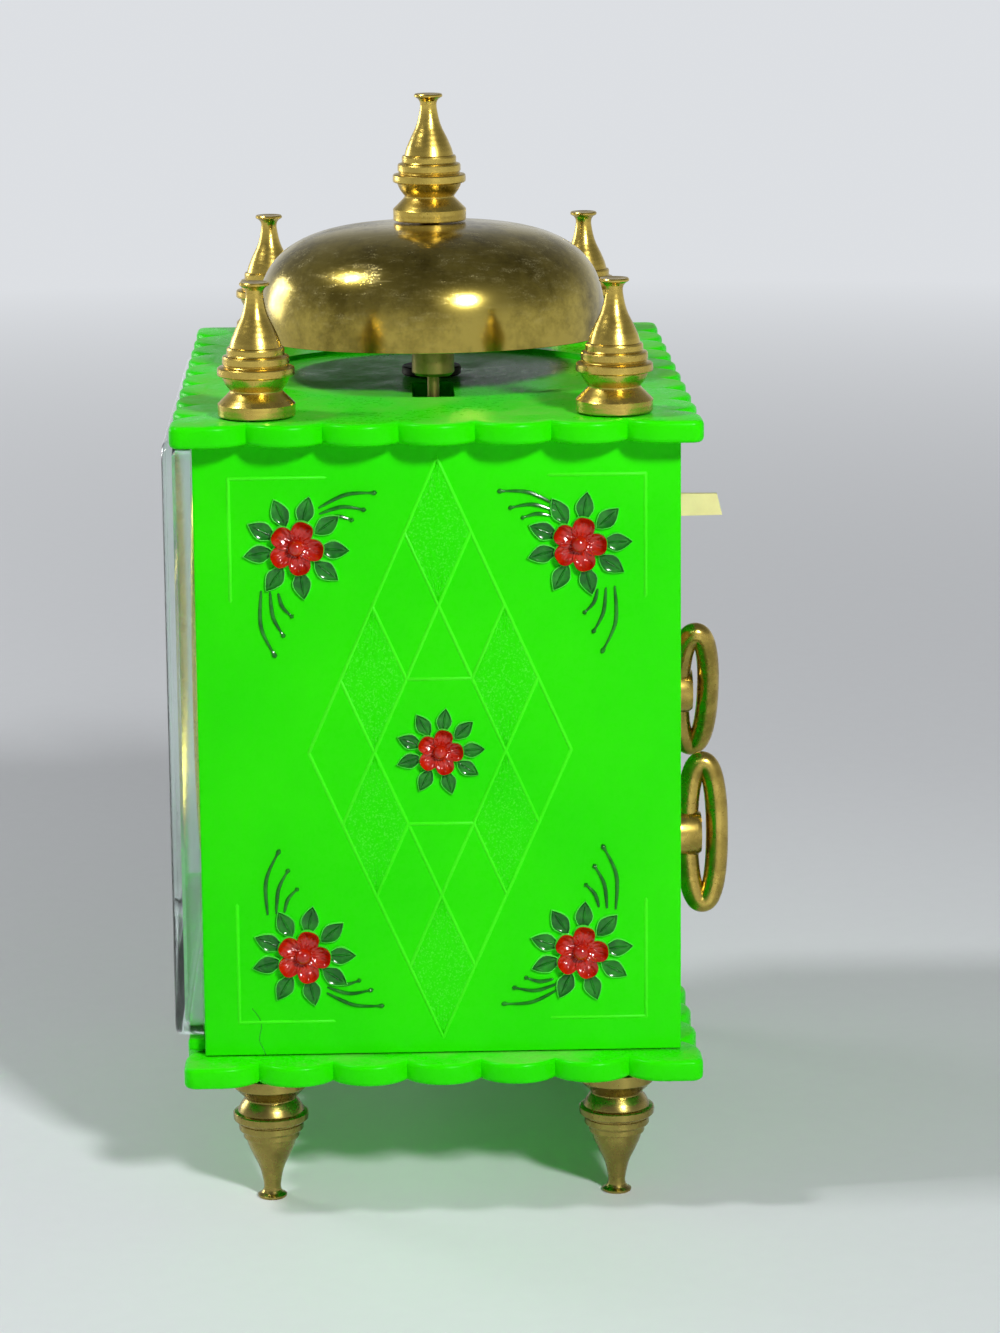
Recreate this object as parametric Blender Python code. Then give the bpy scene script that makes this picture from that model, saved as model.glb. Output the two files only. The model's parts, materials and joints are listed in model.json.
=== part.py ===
"""Wind-up alarm clock in a moulded case, with a bell on top and keys behind.

Two scalloped plates and two side panels are clamped together by four tie rods,
which turned brass finials and feet close at their ends. A clear box covers the
dial in front. The movement stands between two plates behind the dial and is
screwed to the back cover. The bell sits on a post in the top plate, and the
hammer reaches it through a slot.

The dial faces -Y, +X is to the right of someone who looks at the dial from
behind the clock's back, and +Z is up. All sizes are in metres.
"""

import math
from collections import namedtuple

import bmesh
import bpy
from mathutils import Vector

MM = 0.001
TAU = 2 * math.pi

# Clearances that every fit uses
SEAT_GAP = 0.25 * MM
RUNNING_GAP = 0.25 * MM
CUT_OVERRUN = 1.0 * MM
JOIN_DEPTH = 0.5 * MM
WELD_DISTANCE = 0.001 * MM
SMOOTH_LIMIT = math.radians(40)

# Scalloped top and base plates
WIDE_SCALLOP_COUNT = 10
DEEP_SCALLOP_COUNT = 7
SCALLOP_DEPTH = 2.9 * MM
SCALLOP_STEPS = 3
PLATE_THICKNESS = 3.3 * MM
PLATE_EDGE_ROUND = 0.5 * MM
PLATE_CORNER_RADIUS = 1.8 * MM
PLATE_CORNER_STEPS = 2

# Side panels
PANEL_DEPTH = 71.0 * MM
PANEL_THICKNESS = 2.2 * MM
PANEL_INSET_SIDE = 6.0 * MM
PANEL_INSET_FRONT = 3.0 * MM
BOSS_RADIUS = 3.2 * MM
BOSS_INSET = 9.5 * MM
BOSS_STEPS = 4
LEDGE_REACH = 5.6 * MM

# Turned finials, which are also the feet
FINIAL_HEIGHT = 19.4 * MM
FINIAL_RADIUS = 5.65 * MM
FINIAL_SIDES = 10
FINIAL_BORE_DEPTH = 5.0 * MM
FINIAL_PROFILE_SHARES = (
    (0.99, 0.0),
    (0.99, 0.125),
    (0.67, 0.215),
    (0.84, 0.33),
    (1.0, 0.34),
    (1.0, 0.395),
    (0.85, 0.41),
    (0.85, 0.47),
    (0.73, 0.48),
    (0.71, 0.555),
    (0.36, 0.71),
    (0.2, 0.88),
    (0.38, 0.965),
    (0.38, 1.0),
)
ROD_RADIUS = 1.5 * MM
ROD_SIDES = 8

# Bell, its post and the hammer
BELL_RADIUS = 27.0 * MM
BELL_HEIGHT = 17.5 * MM
BELL_WALL = 1.0 * MM
BELL_LIFT = 5.7 * MM
BELL_CURVE_SHARE = 3.1
BELL_STEPS = 6
BELL_SIDES = 24
POST_RADIUS = 1.5 * MM
POST_COLUMN_RADIUS = 2.6 * MM
POST_NUT_RADIUS = 4.2 * MM
POST_NUT_THICKNESS = 2.4 * MM
POST_FLANGE_RADIUS = 4.6 * MM
POST_FLANGE_THICKNESS = 1.4 * MM
POST_SIDES = 8
TOP_RECESS_MARGIN = 1.5 * MM
TOP_RECESS_DEPTH = 0.8 * MM
TOP_RECESS_SIDES = 28
HAMMER_GAP = 1.8 * MM
HAMMER_HEAD_RADIUS = 3.2 * MM
HAMMER_HEAD_LOW = 2.3 * MM
HAMMER_HEAD_HEIGHT = 6.7 * MM
HAMMER_HEAD_EDGE = 0.5 * MM
HAMMER_ROD_RADIUS = 0.9 * MM
HAMMER_HUB_RADIUS = 2.4 * MM
HAMMER_HUB_WIDTH = 4.0 * MM
HAMMER_SLOT_WIDTH = 6.4 * MM
HAMMER_SLOT_LENGTH = 15.0 * MM
HAMMER_SLOT_MARGIN = 2.0 * MM

# Front: frame, bezel, dial and clear box
CRYSTAL_PROUD = 4.5 * MM
CRYSTAL_WALL = 1.5 * MM
CRYSTAL_INSET_SIDE = 1.5 * MM
CRYSTAL_EDGE_ROUND = 1.0 * MM
CRYSTAL_CORNER_RADIUS = 3.0 * MM
CRYSTAL_CORNER_STEPS = 3
SILL_HEIGHT = 1.8 * MM
SILL_REACH = 2.5 * MM
FRAME_THICKNESS = 2.0 * MM
DIAL_OPENING_RADIUS = 34.0 * MM
DIAL_BORDER_SIDE = 15.0 * MM
DIAL_BORDER_BELOW = 18.35 * MM
DIAL_BORDER_ABOVE = 5.65 * MM
DIAL_OPENING_SIDES = 28
DIAL_THICKNESS = 0.6 * MM
DIAL_MARGIN = 4.0 * MM
BEZEL_WIDTH = 2.6 * MM
BEZEL_DEPTH = 1.0 * MM
BEZEL_LIP = 1.0 * MM

# Back: cover, screws and knobs
COVER_THICKNESS = 1.5 * MM
COVER_RECESS = 3.0 * MM
COVER_SCREW_INSET = 8.0 * MM
SCREW_HEAD_RADIUS = 2.1 * MM
SCREW_HEAD_HEIGHT = 1.2 * MM
SCREW_RADIUS = 0.9 * MM
SCREW_LENGTH = 5.0 * MM
SCREW_SIDES = 6
KNOB_RADIUS = 4.6 * MM
KNOB_WIDTH = 2.6 * MM
KNOB_TIP = 0.3 * MM
KNOB_RIB_COUNT = 10
KNOB_RIB_SHARE = 0.88

# Winding keys
KEY_LENGTH = 25.8 * MM
KEY_WIDTH = 8.2 * MM
KEY_WIRE_RADIUS = 1.45 * MM
KEY_STEPS = 16
KEY_CURVE_SHARE = 2.3
KEY_BOSS_RADIUS = 3.75 * MM
KEY_RING_GAP = 1.9 * MM
KEY_CLEARANCE = 0.8 * MM
KEY_SIDES = 10
TIME_KEY_TURN = math.radians(65)
ALARM_KEY_TURN = math.radians(92)

# Movement plates and what joins them
MOVEMENT_DEPTH = 26.0 * MM
MOVEMENT_PLATE = 1.0 * MM
MOVEMENT_HALF_WIDTH = 31.0 * MM
MOVEMENT_TOP = 26.0 * MM
MOVEMENT_BOTTOM = 41.0 * MM
MOVEMENT_CORNER_RADIUS = 5.0 * MM
PILLAR_INSET = 3.6 * MM
PILLAR_RADIUS = 1.8 * MM
PILLAR_SIDES = 6
SPACER_RADIUS = 2.4 * MM
SPRING_POST_RADIUS = 1.2 * MM

# Arbors: the two winding arbors lie where the photograph shows the keys
TIME_DIRECTION = math.radians(228.1)
ALARM_DIRECTION = math.radians(-45.6)
WINDING_CLEARANCE = 2.8 * MM
WINDING_ARBOR_RADIUS = 1.6 * MM
ARBOR_RADIUS = 0.8 * MM
PIVOT_RADIUS = 0.5 * MM
ARBOR_SIDES = 6
HOLE_SIDES = 6

# Teeth
TOOTH_TIP_SHARE = 0.8
TOOTH_ROOT_SHARE = 1.15
LEAF_HALF_SHARE = 0.3
MOST_PINION_TEETH = 10
WHEEL_THICKNESS = 0.7 * MM
PINION_WIDTH = 2.2 * MM
GREAT_MODULE = 0.66 * MM
GREAT_TEETH = 36
CENTRE_PINION_TEETH = 6
CENTRE_TEETH = 45
THIRD_PINION_TEETH = 6
THIRD_TEETH = 48
FOURTH_PINION_TEETH = 6
FOURTH_TEETH = 48
ESCAPE_PINION_TEETH = 6
ESCAPE_TEETH = 15
THIRD_MODULE = 0.45 * MM
FOURTH_MODULE_SHARE = 0.89
ESCAPE_MODULE_SHARE = 0.8
THIRD_DIRECTION = math.radians(60)
FOURTH_DIRECTION = math.radians(150)
ESCAPE_DIRECTION = math.radians(170)
PALLET_DIRECTION = math.radians(200)
BALANCE_DIRECTION = math.radians(250)
ESCAPE_RADIUS = 5.6 * MM
ESCAPE_TOOTH_DEPTH = 1.5 * MM
PALLET_GAP = 0.4 * MM
PALLET_ARM = 3.4 * MM
PALLET_SPREAD = math.radians(52)
PALLET_PIN_RADIUS = 0.35 * MM
PALLET_THICKNESS = 0.8 * MM
PALLET_ARM_WIDTH = 1.2 * MM
PALLET_HUB_RADIUS = 1.5 * MM
BALANCE_GAP = 1.2 * MM
BALANCE_RADIUS = 7.0 * MM
BALANCE_RIM = 1.1 * MM
BALANCE_THICKNESS = 1.1 * MM
BALANCE_SIDES = 15
BALANCE_SPOKE = 1.4 * MM
HAIRSPRING_RADIUS = 4.4 * MM
HAIRSPRING_TURNS = 3
HAIRSPRING_STRIP = 0.2 * MM
HAIRSPRING_WIDTH = 0.6 * MM
HAIRSPRING_COLLET_RADIUS = 1.3 * MM

# Levels of the wheels behind the front plate, as shares of the movement's depth
GREAT_LEVEL_SHARE = 0.05
RATCHET_LEVEL_SHARE = 0.096
CENTRE_LEVEL_SHARE = 0.162
THIRD_LEVEL_SHARE = 0.288
FOURTH_LEVEL_SHARE = 0.42
ESCAPE_LEVEL_SHARE = 0.577
PALLET_LEVEL_SHARE = 0.627
BALANCE_LEVEL_SHARE = 0.77
HAIRSPRING_LEVEL_SHARE = 0.865
ALARM_ESCAPE_LEVEL_SHARE = 0.37

# Mainsprings, ratchets and clicks
MAINSPRING_RADIUS_SHARE = 0.91
MAINSPRING_INNER_RADIUS = 3.2 * MM
MAINSPRING_STRIP = 0.7 * MM
MAINSPRING_TURNS = 3
SPIRAL_STEPS = 9
MAINSPRING_TAIL_SHARE = 0.9
TIME_SPRING_SHARES = (0.24, 0.78)
ALARM_SPRING_SHARES = (0.46, 0.88)
RATCHET_RADIUS = 4.4 * MM
RATCHET_TEETH = 12
RATCHET_TOOTH_DEPTH = 0.8 * MM
RATCHET_THICKNESS = 0.9 * MM
CLICK_DISTANCE = 7.2 * MM
CLICK_LENGTH = 4.0 * MM
CLICK_WIDTH = 1.2 * MM
CLICK_HUB_RADIUS = 1.1 * MM
CLICK_THICKNESS = 0.7 * MM

# Alarm train and hammer arbor
ALARM_GREAT_TEETH = 36
ALARM_PINION_TEETH = 6
ALARM_MODULE = 0.6 * MM
ALARM_ESCAPE_TEETH = 16
ALARM_ESCAPE_RADIUS = 5.6 * MM
ALARM_ESCAPE_DIRECTION = math.radians(60)
VERGE_GAP = 2.15 * MM
VERGE_DIRECTION = math.radians(50.4)
VERGE_SPREAD = math.radians(50)
VERGE_ARM = 4.2 * MM
VERGE_PIN_RADIUS = 0.5 * MM

# Motion work in front of the front plate, and the alarm setting
CANNON_TEETH = 8
MINUTE_TEETH = 24
MINUTE_PINION_TEETH = 6
HOUR_TEETH = 24
MOTION_MODULE = 0.6 * MM
MOTION_DIRECTION = math.radians(240)
ALARM_SET_TEETH = 8
ALARM_WHEEL_TEETH = 24
ALARM_SET_GAP = 0.8 * MM
ALARM_SET_DIRECTION = math.radians(0)
MINUTE_LEVEL = 1.4 * MM
HOUR_LEVEL = 3.8 * MM
ALARM_WHEEL_LEVEL = 6.4 * MM
CENTRE_ARBOR_RADIUS = 0.7 * MM
CANNON_RADIUS = 1.3 * MM
TUBE_WALL = 0.5 * MM
TUBE_SIDES = 10

# Hands
HAND_THICKNESS = 0.3 * MM
HAND_SPACING = 0.9 * MM
HAND_TUBE_PROUD = 0.25 * MM
HAND_HUB_MARGIN = 1.2 * MM
HAND_HUB_STEPS = 9
HAND_NECK_WIDTH = 0.9 * MM
HAND_WIDEST = 3.4 * MM
HAND_OUTLINE_SHARES = ((0.5, 0.3), (0.72, 1.0), (1.0, 0.04))
MINUTE_HAND_SHARE = 0.82
HOUR_HAND_SHARE = 0.57
ALARM_HAND_SHARE = 0.38
MINUTE_HAND_TURN = math.radians(30)
HOUR_HAND_TURN = math.radians(145)
ALARM_HAND_TURN = math.radians(100)

# Alarm stop lever and regulator, which pass through the back cover
LEVER_RISE = 9.6 * MM
LEVER_ABOVE_CENTRE = 11.9 * MM
LEVER_TAB_ROOT = 4.1 * MM
LEVER_TAB_TIP = 3.4 * MM
LEVER_THICKNESS = 0.9 * MM
LEVER_ARM_WIDTH = 2.6 * MM
LEVER_TAB_BACK = 45.4 * MM
LEVER_SWING = math.radians(18)
REGULATOR_ARM = 9.5 * MM
REGULATOR_WIDTH = 1.4 * MM
REGULATOR_RING_RADIUS = 2.2 * MM
REGULATOR_THICKNESS = 0.6 * MM
REGULATOR_SWING = math.radians(12)
REGULATOR_PROUD = 1.2 * MM
SLOT_MARGIN = 1.2 * MM

# Heights and places that follow from the sizes above
PANEL_FACE = DIAL_OPENING_RADIUS + DIAL_BORDER_SIDE
PANEL_EDGE = PANEL_DEPTH / 2
PANEL_HEIGHT = DIAL_BORDER_BELOW + 2 * DIAL_OPENING_RADIUS + DIAL_BORDER_ABOVE
PLATE_HALF_WIDTH = PANEL_FACE + PANEL_INSET_SIDE
PLATE_HALF_DEPTH = PANEL_EDGE + PANEL_INSET_FRONT
BASE_BOTTOM = FINIAL_HEIGHT + SEAT_GAP
BASE_TOP = BASE_BOTTOM + PLATE_THICKNESS
PANEL_BOTTOM = BASE_TOP + SEAT_GAP
PANEL_TOP = PANEL_BOTTOM + PANEL_HEIGHT
TOP_BOTTOM = PANEL_TOP + SEAT_GAP
TOP_FACE = TOP_BOTTOM + PLATE_THICKNESS
TOP_RECESS_RADIUS = BELL_RADIUS + TOP_RECESS_MARGIN
HAMMER_REACH = BELL_RADIUS - BELL_WALL - HAMMER_GAP - HAMMER_HEAD_RADIUS
HAMMER_SLOT_OUTER = HAMMER_REACH + HAMMER_SLOT_MARGIN
HAMMER_SLOT_INNER = HAMMER_SLOT_OUTER - HAMMER_SLOT_LENGTH
PANEL_INNER = PANEL_FACE - PANEL_THICKNESS
BOSS_X = PANEL_FACE - BOSS_RADIUS
BOSS_Y = PANEL_EDGE - BOSS_INSET
ROD_HOLE_RADIUS = ROD_RADIUS + RUNNING_GAP
FRAME_BACK = -PANEL_EDGE + FRAME_THICKNESS
DIAL_FRONT = FRAME_BACK + SEAT_GAP
DIAL_BACK = DIAL_FRONT + DIAL_THICKNESS
CRYSTAL_BACK = -PANEL_EDGE - SEAT_GAP
CRYSTAL_FRONT = -PANEL_EDGE - CRYSTAL_PROUD
COVER_BACK = PANEL_EDGE - COVER_RECESS
COVER_FRONT = COVER_BACK - COVER_THICKNESS
LEDGE_FRONT = DIAL_BACK + SEAT_GAP
LEDGE_BACK = COVER_FRONT - SEAT_GAP
LEDGE_INNER = PANEL_INNER - LEDGE_REACH
GREAT_LEVEL = MOVEMENT_DEPTH * GREAT_LEVEL_SHARE
RATCHET_LEVEL = MOVEMENT_DEPTH * RATCHET_LEVEL_SHARE
CENTRE_LEVEL = MOVEMENT_DEPTH * CENTRE_LEVEL_SHARE
THIRD_LEVEL = MOVEMENT_DEPTH * THIRD_LEVEL_SHARE
FOURTH_LEVEL = MOVEMENT_DEPTH * FOURTH_LEVEL_SHARE
ESCAPE_LEVEL = MOVEMENT_DEPTH * ESCAPE_LEVEL_SHARE
PALLET_LEVEL = MOVEMENT_DEPTH * PALLET_LEVEL_SHARE
BALANCE_LEVEL = MOVEMENT_DEPTH * BALANCE_LEVEL_SHARE
HAIRSPRING_LEVEL = MOVEMENT_DEPTH * HAIRSPRING_LEVEL_SHARE
ALARM_ESCAPE_LEVEL = MOVEMENT_DEPTH * ALARM_ESCAPE_LEVEL_SHARE
MOVEMENT_FRONT = -MOVEMENT_DEPTH / 2
MOVEMENT_BACK = MOVEMENT_DEPTH / 2
FRONT_PLATE_FACE = MOVEMENT_FRONT - MOVEMENT_PLATE
BACK_PLATE_FACE = MOVEMENT_BACK + MOVEMENT_PLATE
KEY_FRONT = COVER_BACK + KEY_CLEARANCE
KNOB_FRONT = COVER_BACK + SEAT_GAP
KNOB_END = KNOB_FRONT + KNOB_WIDTH + KNOB_TIP
KEY_RING_FRONT = KNOB_END + KEY_RING_GAP
KEY_RING_CENTRE = KEY_RING_FRONT + KEY_WIDTH / 2
KEY_BACK = KEY_RING_CENTRE + KEY_WIDTH / 2
KEY_BORE_DEPTH = KEY_RING_FRONT - KEY_FRONT
PLAN_SHIFT = -(KEY_BACK + CRYSTAL_FRONT) / 2

Finish = namedtuple("Finish", "colour roughness metallic")
GREEN = Finish((0.03, 0.72, 0.01), 0.25, 0.0)
CLEAR = Finish((0.85, 0.90, 0.92), 0.05, 0.0)
IVORY = Finish((0.85, 0.80, 0.66), 0.5, 0.0)
BLACK = Finish((0.02, 0.02, 0.02), 0.4, 0.2)
BRASS = Finish((0.72, 0.52, 0.20), 0.28, 1.0)
BELL_BRASS = Finish((0.62, 0.46, 0.18), 0.15, 1.0)
STEEL = Finish((0.45, 0.45, 0.46), 0.32, 1.0)
BLUED = Finish((0.06, 0.08, 0.14), 0.35, 0.9)

Arbor = namedtuple("Arbor", "x z")


def polar(radius, angle, centre=(0.0, 0.0)):
    """A point at a radius and an angle round a centre."""
    return (centre[0] + radius * math.cos(angle), centre[1] + radius * math.sin(angle))


def next_arbor(arbor, distance, angle):
    """An arbor at a distance from another, seen with X to the right and Z up."""
    return Arbor(*polar(distance, angle, arbor))


def mesh_distance(module, teeth, mates):
    """Distance between the arbors of two wheels in mesh."""
    return module * (teeth + mates) / 2


CENTRE = Arbor(0.0, PANEL_BOTTOM + DIAL_BORDER_BELOW + DIAL_OPENING_RADIUS)
TIME = next_arbor(CENTRE, mesh_distance(GREAT_MODULE, GREAT_TEETH, CENTRE_PINION_TEETH), TIME_DIRECTION)
TIME_WHEEL_TIP = GREAT_MODULE * (GREAT_TEETH / 2 + TOOTH_TIP_SHARE)
ALARM_WHEEL_TIP = ALARM_MODULE * (ALARM_GREAT_TEETH / 2 + TOOTH_TIP_SHARE)
ALARM = next_arbor(TIME, TIME_WHEEL_TIP + ALARM_WHEEL_TIP + WINDING_CLEARANCE, ALARM_DIRECTION)
FOURTH_MODULE = THIRD_MODULE * FOURTH_MODULE_SHARE
ESCAPE_MODULE = THIRD_MODULE * ESCAPE_MODULE_SHARE
THIRD = next_arbor(CENTRE, mesh_distance(THIRD_MODULE, CENTRE_TEETH, THIRD_PINION_TEETH), THIRD_DIRECTION)
FOURTH = next_arbor(THIRD, mesh_distance(FOURTH_MODULE, THIRD_TEETH, FOURTH_PINION_TEETH), FOURTH_DIRECTION)
ESCAPE = next_arbor(FOURTH, mesh_distance(ESCAPE_MODULE, FOURTH_TEETH, ESCAPE_PINION_TEETH), ESCAPE_DIRECTION)
PALLET = next_arbor(ESCAPE, ESCAPE_RADIUS + ARBOR_RADIUS + PALLET_GAP, PALLET_DIRECTION)
BALANCE_DISTANCE = BALANCE_RADIUS + ARBOR_RADIUS + BALANCE_GAP
BALANCE = next_arbor(PALLET, BALANCE_DISTANCE, BALANCE_DIRECTION)
ALARM_ESCAPE = next_arbor(
    ALARM, mesh_distance(ALARM_MODULE, ALARM_GREAT_TEETH, ALARM_PINION_TEETH), ALARM_ESCAPE_DIRECTION
)
HAMMER = next_arbor(ALARM_ESCAPE, ALARM_ESCAPE_RADIUS + ARBOR_RADIUS + VERGE_GAP, VERGE_DIRECTION)
MINUTE = next_arbor(CENTRE, mesh_distance(MOTION_MODULE, CANNON_TEETH, MINUTE_TEETH), MOTION_DIRECTION)
HOUR_MODULE = 2 * math.dist(MINUTE, CENTRE) / (MINUTE_PINION_TEETH + HOUR_TEETH)
CENTRE_WHEEL_TIP = THIRD_MODULE * (CENTRE_TEETH / 2 + TOOTH_TIP_SHARE)
ALARM_SET_DISTANCE = CENTRE_WHEEL_TIP + CENTRE_ARBOR_RADIUS + ALARM_SET_GAP
ALARM_SET_MODULE = 2 * ALARM_SET_DISTANCE / (ALARM_SET_TEETH + ALARM_WHEEL_TEETH)
ALARM_SET = next_arbor(CENTRE, ALARM_SET_DISTANCE, ALARM_SET_DIRECTION)
LEVER = Arbor(CENTRE.x, CENTRE.z + LEVER_ABOVE_CENTRE)

HOUR_TUBE_INNER = CANNON_RADIUS + RUNNING_GAP
HOUR_TUBE_RADIUS = HOUR_TUBE_INNER + TUBE_WALL
ALARM_TUBE_INNER = HOUR_TUBE_RADIUS + RUNNING_GAP
ALARM_TUBE_RADIUS = ALARM_TUBE_INNER + TUBE_WALL
ALARM_HAND_BACK = DIAL_FRONT - HAND_SPACING + HAND_THICKNESS
HOUR_HAND_BACK = ALARM_HAND_BACK - HAND_SPACING
MINUTE_HAND_BACK = HOUR_HAND_BACK - HAND_SPACING
MINUTE_HAND_FRONT = MINUTE_HAND_BACK - HAND_THICKNESS


def place(along, first, second, height):
    """A point from its two coordinates across an axis and its height along it."""
    if along == "Z":
        return Vector((first, second, height))
    if along == "Y":
        return Vector((first, height, second))
    return Vector((height, first, second))


def circle(radius, sides, centre=(0.0, 0.0)):
    """The corners of a round outline."""
    return [polar(radius, TAU * step / sides, centre) for step in range(sides)]


def box(low, high):
    """The corners of a rectangle between two opposite ones."""
    return [(low[0], low[1]), (high[0], low[1]), (high[0], high[1]), (low[0], high[1])]


def arc(radius, centre, start, end, steps):
    """Points along an arc, with both of its ends."""
    return [polar(radius, start + (end - start) * step / steps, centre) for step in range(steps + 1)]


def rounded_box(low, high, radius, steps):
    """A rectangle's outline with rounded corners."""
    points = []
    for quarter, (x, y) in enumerate(
        (
            (high[0] - radius, high[1] - radius),
            (low[0] + radius, high[1] - radius),
            (low[0] + radius, low[1] + radius),
            (high[0] - radius, low[1] + radius),
        )
    ):
        start = quarter * TAU / 4
        points += arc(radius, (x, y), start, start + TAU / 4, steps)
    return points


def loop_edges(bm, outline, along, height):
    """Draws a closed outline at a height and returns its edges."""
    corners = [bm.verts.new(place(along, first, second, height)) for first, second in outline]
    return [bm.edges.new((corners[index - 1], corner)) for index, corner in enumerate(corners)]


def slab(outline, low, high, along="Z", holes=()):
    """The area between an outline and its holes, pushed from one height to another."""
    bm = bmesh.new()
    edges = []
    for loop in (outline, *holes):
        edges += loop_edges(bm, loop, along, low)
    filled = bmesh.ops.triangle_fill(bm, use_beauty=True, edges=edges)
    faces = [item for item in filled["geom"] if isinstance(item, bmesh.types.BMFace)]
    pushed = bmesh.ops.extrude_face_region(bm, geom=faces)
    moved = [item for item in pushed["geom"] if isinstance(item, bmesh.types.BMVert)]
    bmesh.ops.translate(bm, verts=moved, vec=place(along, 0.0, 0.0, high - low))
    return bm


def skinned(sections, along="Z"):
    """A closed skin over matching outlines, each given with its height, and filled at both ends."""
    bm = bmesh.new()
    rings = []
    for outline, height in sections:
        rings.append([bm.verts.new(place(along, first, second, height)) for first, second in outline])
    for near, far in zip(rings, rings[1:]):
        for index in range(len(near)):
            bm.faces.new((near[index - 1], near[index], far[index], far[index - 1]))
    for ring in (rings[0], rings[-1]):
        edges = [bm.edges.get((ring[index - 1], corner)) for index, corner in enumerate(ring)]
        bmesh.ops.triangle_fill(bm, use_beauty=True, edges=edges)
    return bm


def turned(profile, sides, along="Z"):
    """A profile of (radius, height) points turned round an axis, as on a lathe."""
    bm = bmesh.new()
    corners = [bm.verts.new(place(along, radius, 0.0, height)) for radius, height in profile]
    edges = [bm.edges.new(pair) for pair in zip(corners, corners[1:])]
    if profile[0][0] > 0.0:
        edges.append(bm.edges.new((corners[-1], corners[0])))
    axis = place(along, 0.0, 0.0, 1.0)
    bmesh.ops.spin(bm, geom=corners + edges, cent=Vector(), axis=axis, angle=TAU, steps=sides, use_merge=True)
    bmesh.ops.remove_doubles(bm, verts=bm.verts, dist=WELD_DISTANCE)
    return bm


def rod(radius, low, high, sides, along="Z"):
    """A plain round bar."""
    return slab(circle(radius, sides), low, high, along)


def wire(points, radius, resolution, closed):
    """A round wire along points, as a mesh."""
    curve = bpy.data.curves.new("wire", "CURVE")
    curve.dimensions = "3D"
    curve.bevel_depth = radius
    curve.bevel_resolution = resolution
    curve.use_fill_caps = not closed
    spline = curve.splines.new("POLY")
    spline.points.add(len(points) - 1)
    spline.use_cyclic_u = closed
    for control, point in zip(spline.points, points):
        control.co = (*point, 1.0)
    carrier = bpy.data.objects.new("wire", curve)
    mesh = bpy.data.meshes.new_from_object(carrier)
    bm = bmesh.new()
    bm.from_mesh(mesh)
    bmesh.ops.remove_doubles(bm, verts=bm.verts, dist=WELD_DISTANCE)
    bpy.data.objects.remove(carrier)
    bpy.data.meshes.remove(mesh)
    bpy.data.curves.remove(curve)
    return bm


def gathered(shapes):
    """One mesh of several separate shapes, each given with the place it moves to."""
    group = bmesh.new()
    for shape, offset in shapes:
        bmesh.ops.translate(shape, verts=shape.verts, vec=offset)
        mesh = bpy.data.meshes.new("shape")
        shape.to_mesh(mesh)
        shape.free()
        group.from_mesh(mesh)
        bpy.data.meshes.remove(mesh)
    return group


def new_object(name, bm, location):
    """Puts a mesh into the scene under the clock's own empty."""
    bmesh.ops.recalc_face_normals(bm, faces=bm.faces)
    mesh = bpy.data.meshes.new(name)
    bm.to_mesh(mesh)
    bm.free()
    mesh.shade_smooth()
    mesh.set_sharp_from_angle(angle=SMOOTH_LIMIT)
    made = bpy.data.objects.new(name, mesh)
    made.location = location
    made.parent = bpy.data.objects["clock"]
    bpy.context.scene.collection.objects.link(made)
    return made


def material_for(name, finish):
    """A sub-part's own material."""
    material = bpy.data.materials.new(name)
    material.use_nodes = True
    shader = material.node_tree.nodes["Principled BSDF"]
    shader.inputs["Base Color"].default_value = (*finish.colour, 1.0)
    shader.inputs["Roughness"].default_value = finish.roughness
    shader.inputs["Metallic"].default_value = finish.metallic
    material.diffuse_color = (*finish.colour, 1.0)
    return material


def solid(name, bm, finish, location=(0.0, 0.0, 0.0)):
    """A sub-part of the clock."""
    made = new_object(name, bm, location)
    made.data.materials.append(material_for(name, finish))
    return made


def twin(original, name, location, rotation=(0.0, 0.0, 0.0)):
    """A copy of a sub-part that shares its mesh."""
    made = bpy.data.objects.new(name, original.data)
    made.location = location
    made.rotation_euler = rotation
    made.parent = original.parent
    bpy.context.scene.collection.objects.link(made)
    return made


def repeated(name, bm, finish, places, endings):
    """Copies of one sub-part, named by their endings, at their places."""
    first = None
    for ending, location in zip(endings, places):
        if first is None:
            first = solid(f"{name}_{ending}", bm, finish, location)
        else:
            twin(first, f"{name}_{ending}", location)


def combine(body, bm, operation, role):
    """Adds a shape to a body, or cuts it out, with a Boolean modifier."""
    helper = new_object(f"{body.name}_{role}", bm, body.location)
    helper.hide_render = True
    helper.display_type = "WIRE"
    modifier = body.modifiers.new(role, "BOOLEAN")
    modifier.operation = operation
    modifier.solver = "EXACT"
    modifier.object = helper
    return modifier


def cut(body, bm, role):
    """Cuts a shape out of a body."""
    return combine(body, bm, "DIFFERENCE", role)


def fuse(body, bm, role):
    """Adds a shape to a body."""
    return combine(body, bm, "UNION", role)


def scalloped_side(length, bumps, crest, depth, inset):
    """One side of a plate from its left corner to its right one, crest outwards.

    Returns (along, out) points. Each bump is an arc over its chord, and the end
    bumps run on flat from their crests to the corners.
    """
    half = length / 2
    pitch = length / bumps
    radius = (pitch * pitch / 4 + depth * depth) / (2 * depth)
    out = crest - radius
    arm = radius - inset
    reach = math.asin(min(1.0, pitch / 2 / arm))
    points = []
    for bump in range(bumps):
        middle = -half + (bump + 0.5) * pitch
        start = -reach if bump > 0 else 0.0
        end = reach if bump < bumps - 1 else 0.0
        steps = round(SCALLOP_STEPS * (end - start) / (2 * reach))
        for step in range(steps + 1):
            lean = start + (end - start) * step / steps
            if bump > 0 and step == 0:
                continue
            points.append((middle + arm * math.sin(lean), out + arm * math.cos(lean)))
    return points


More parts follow.
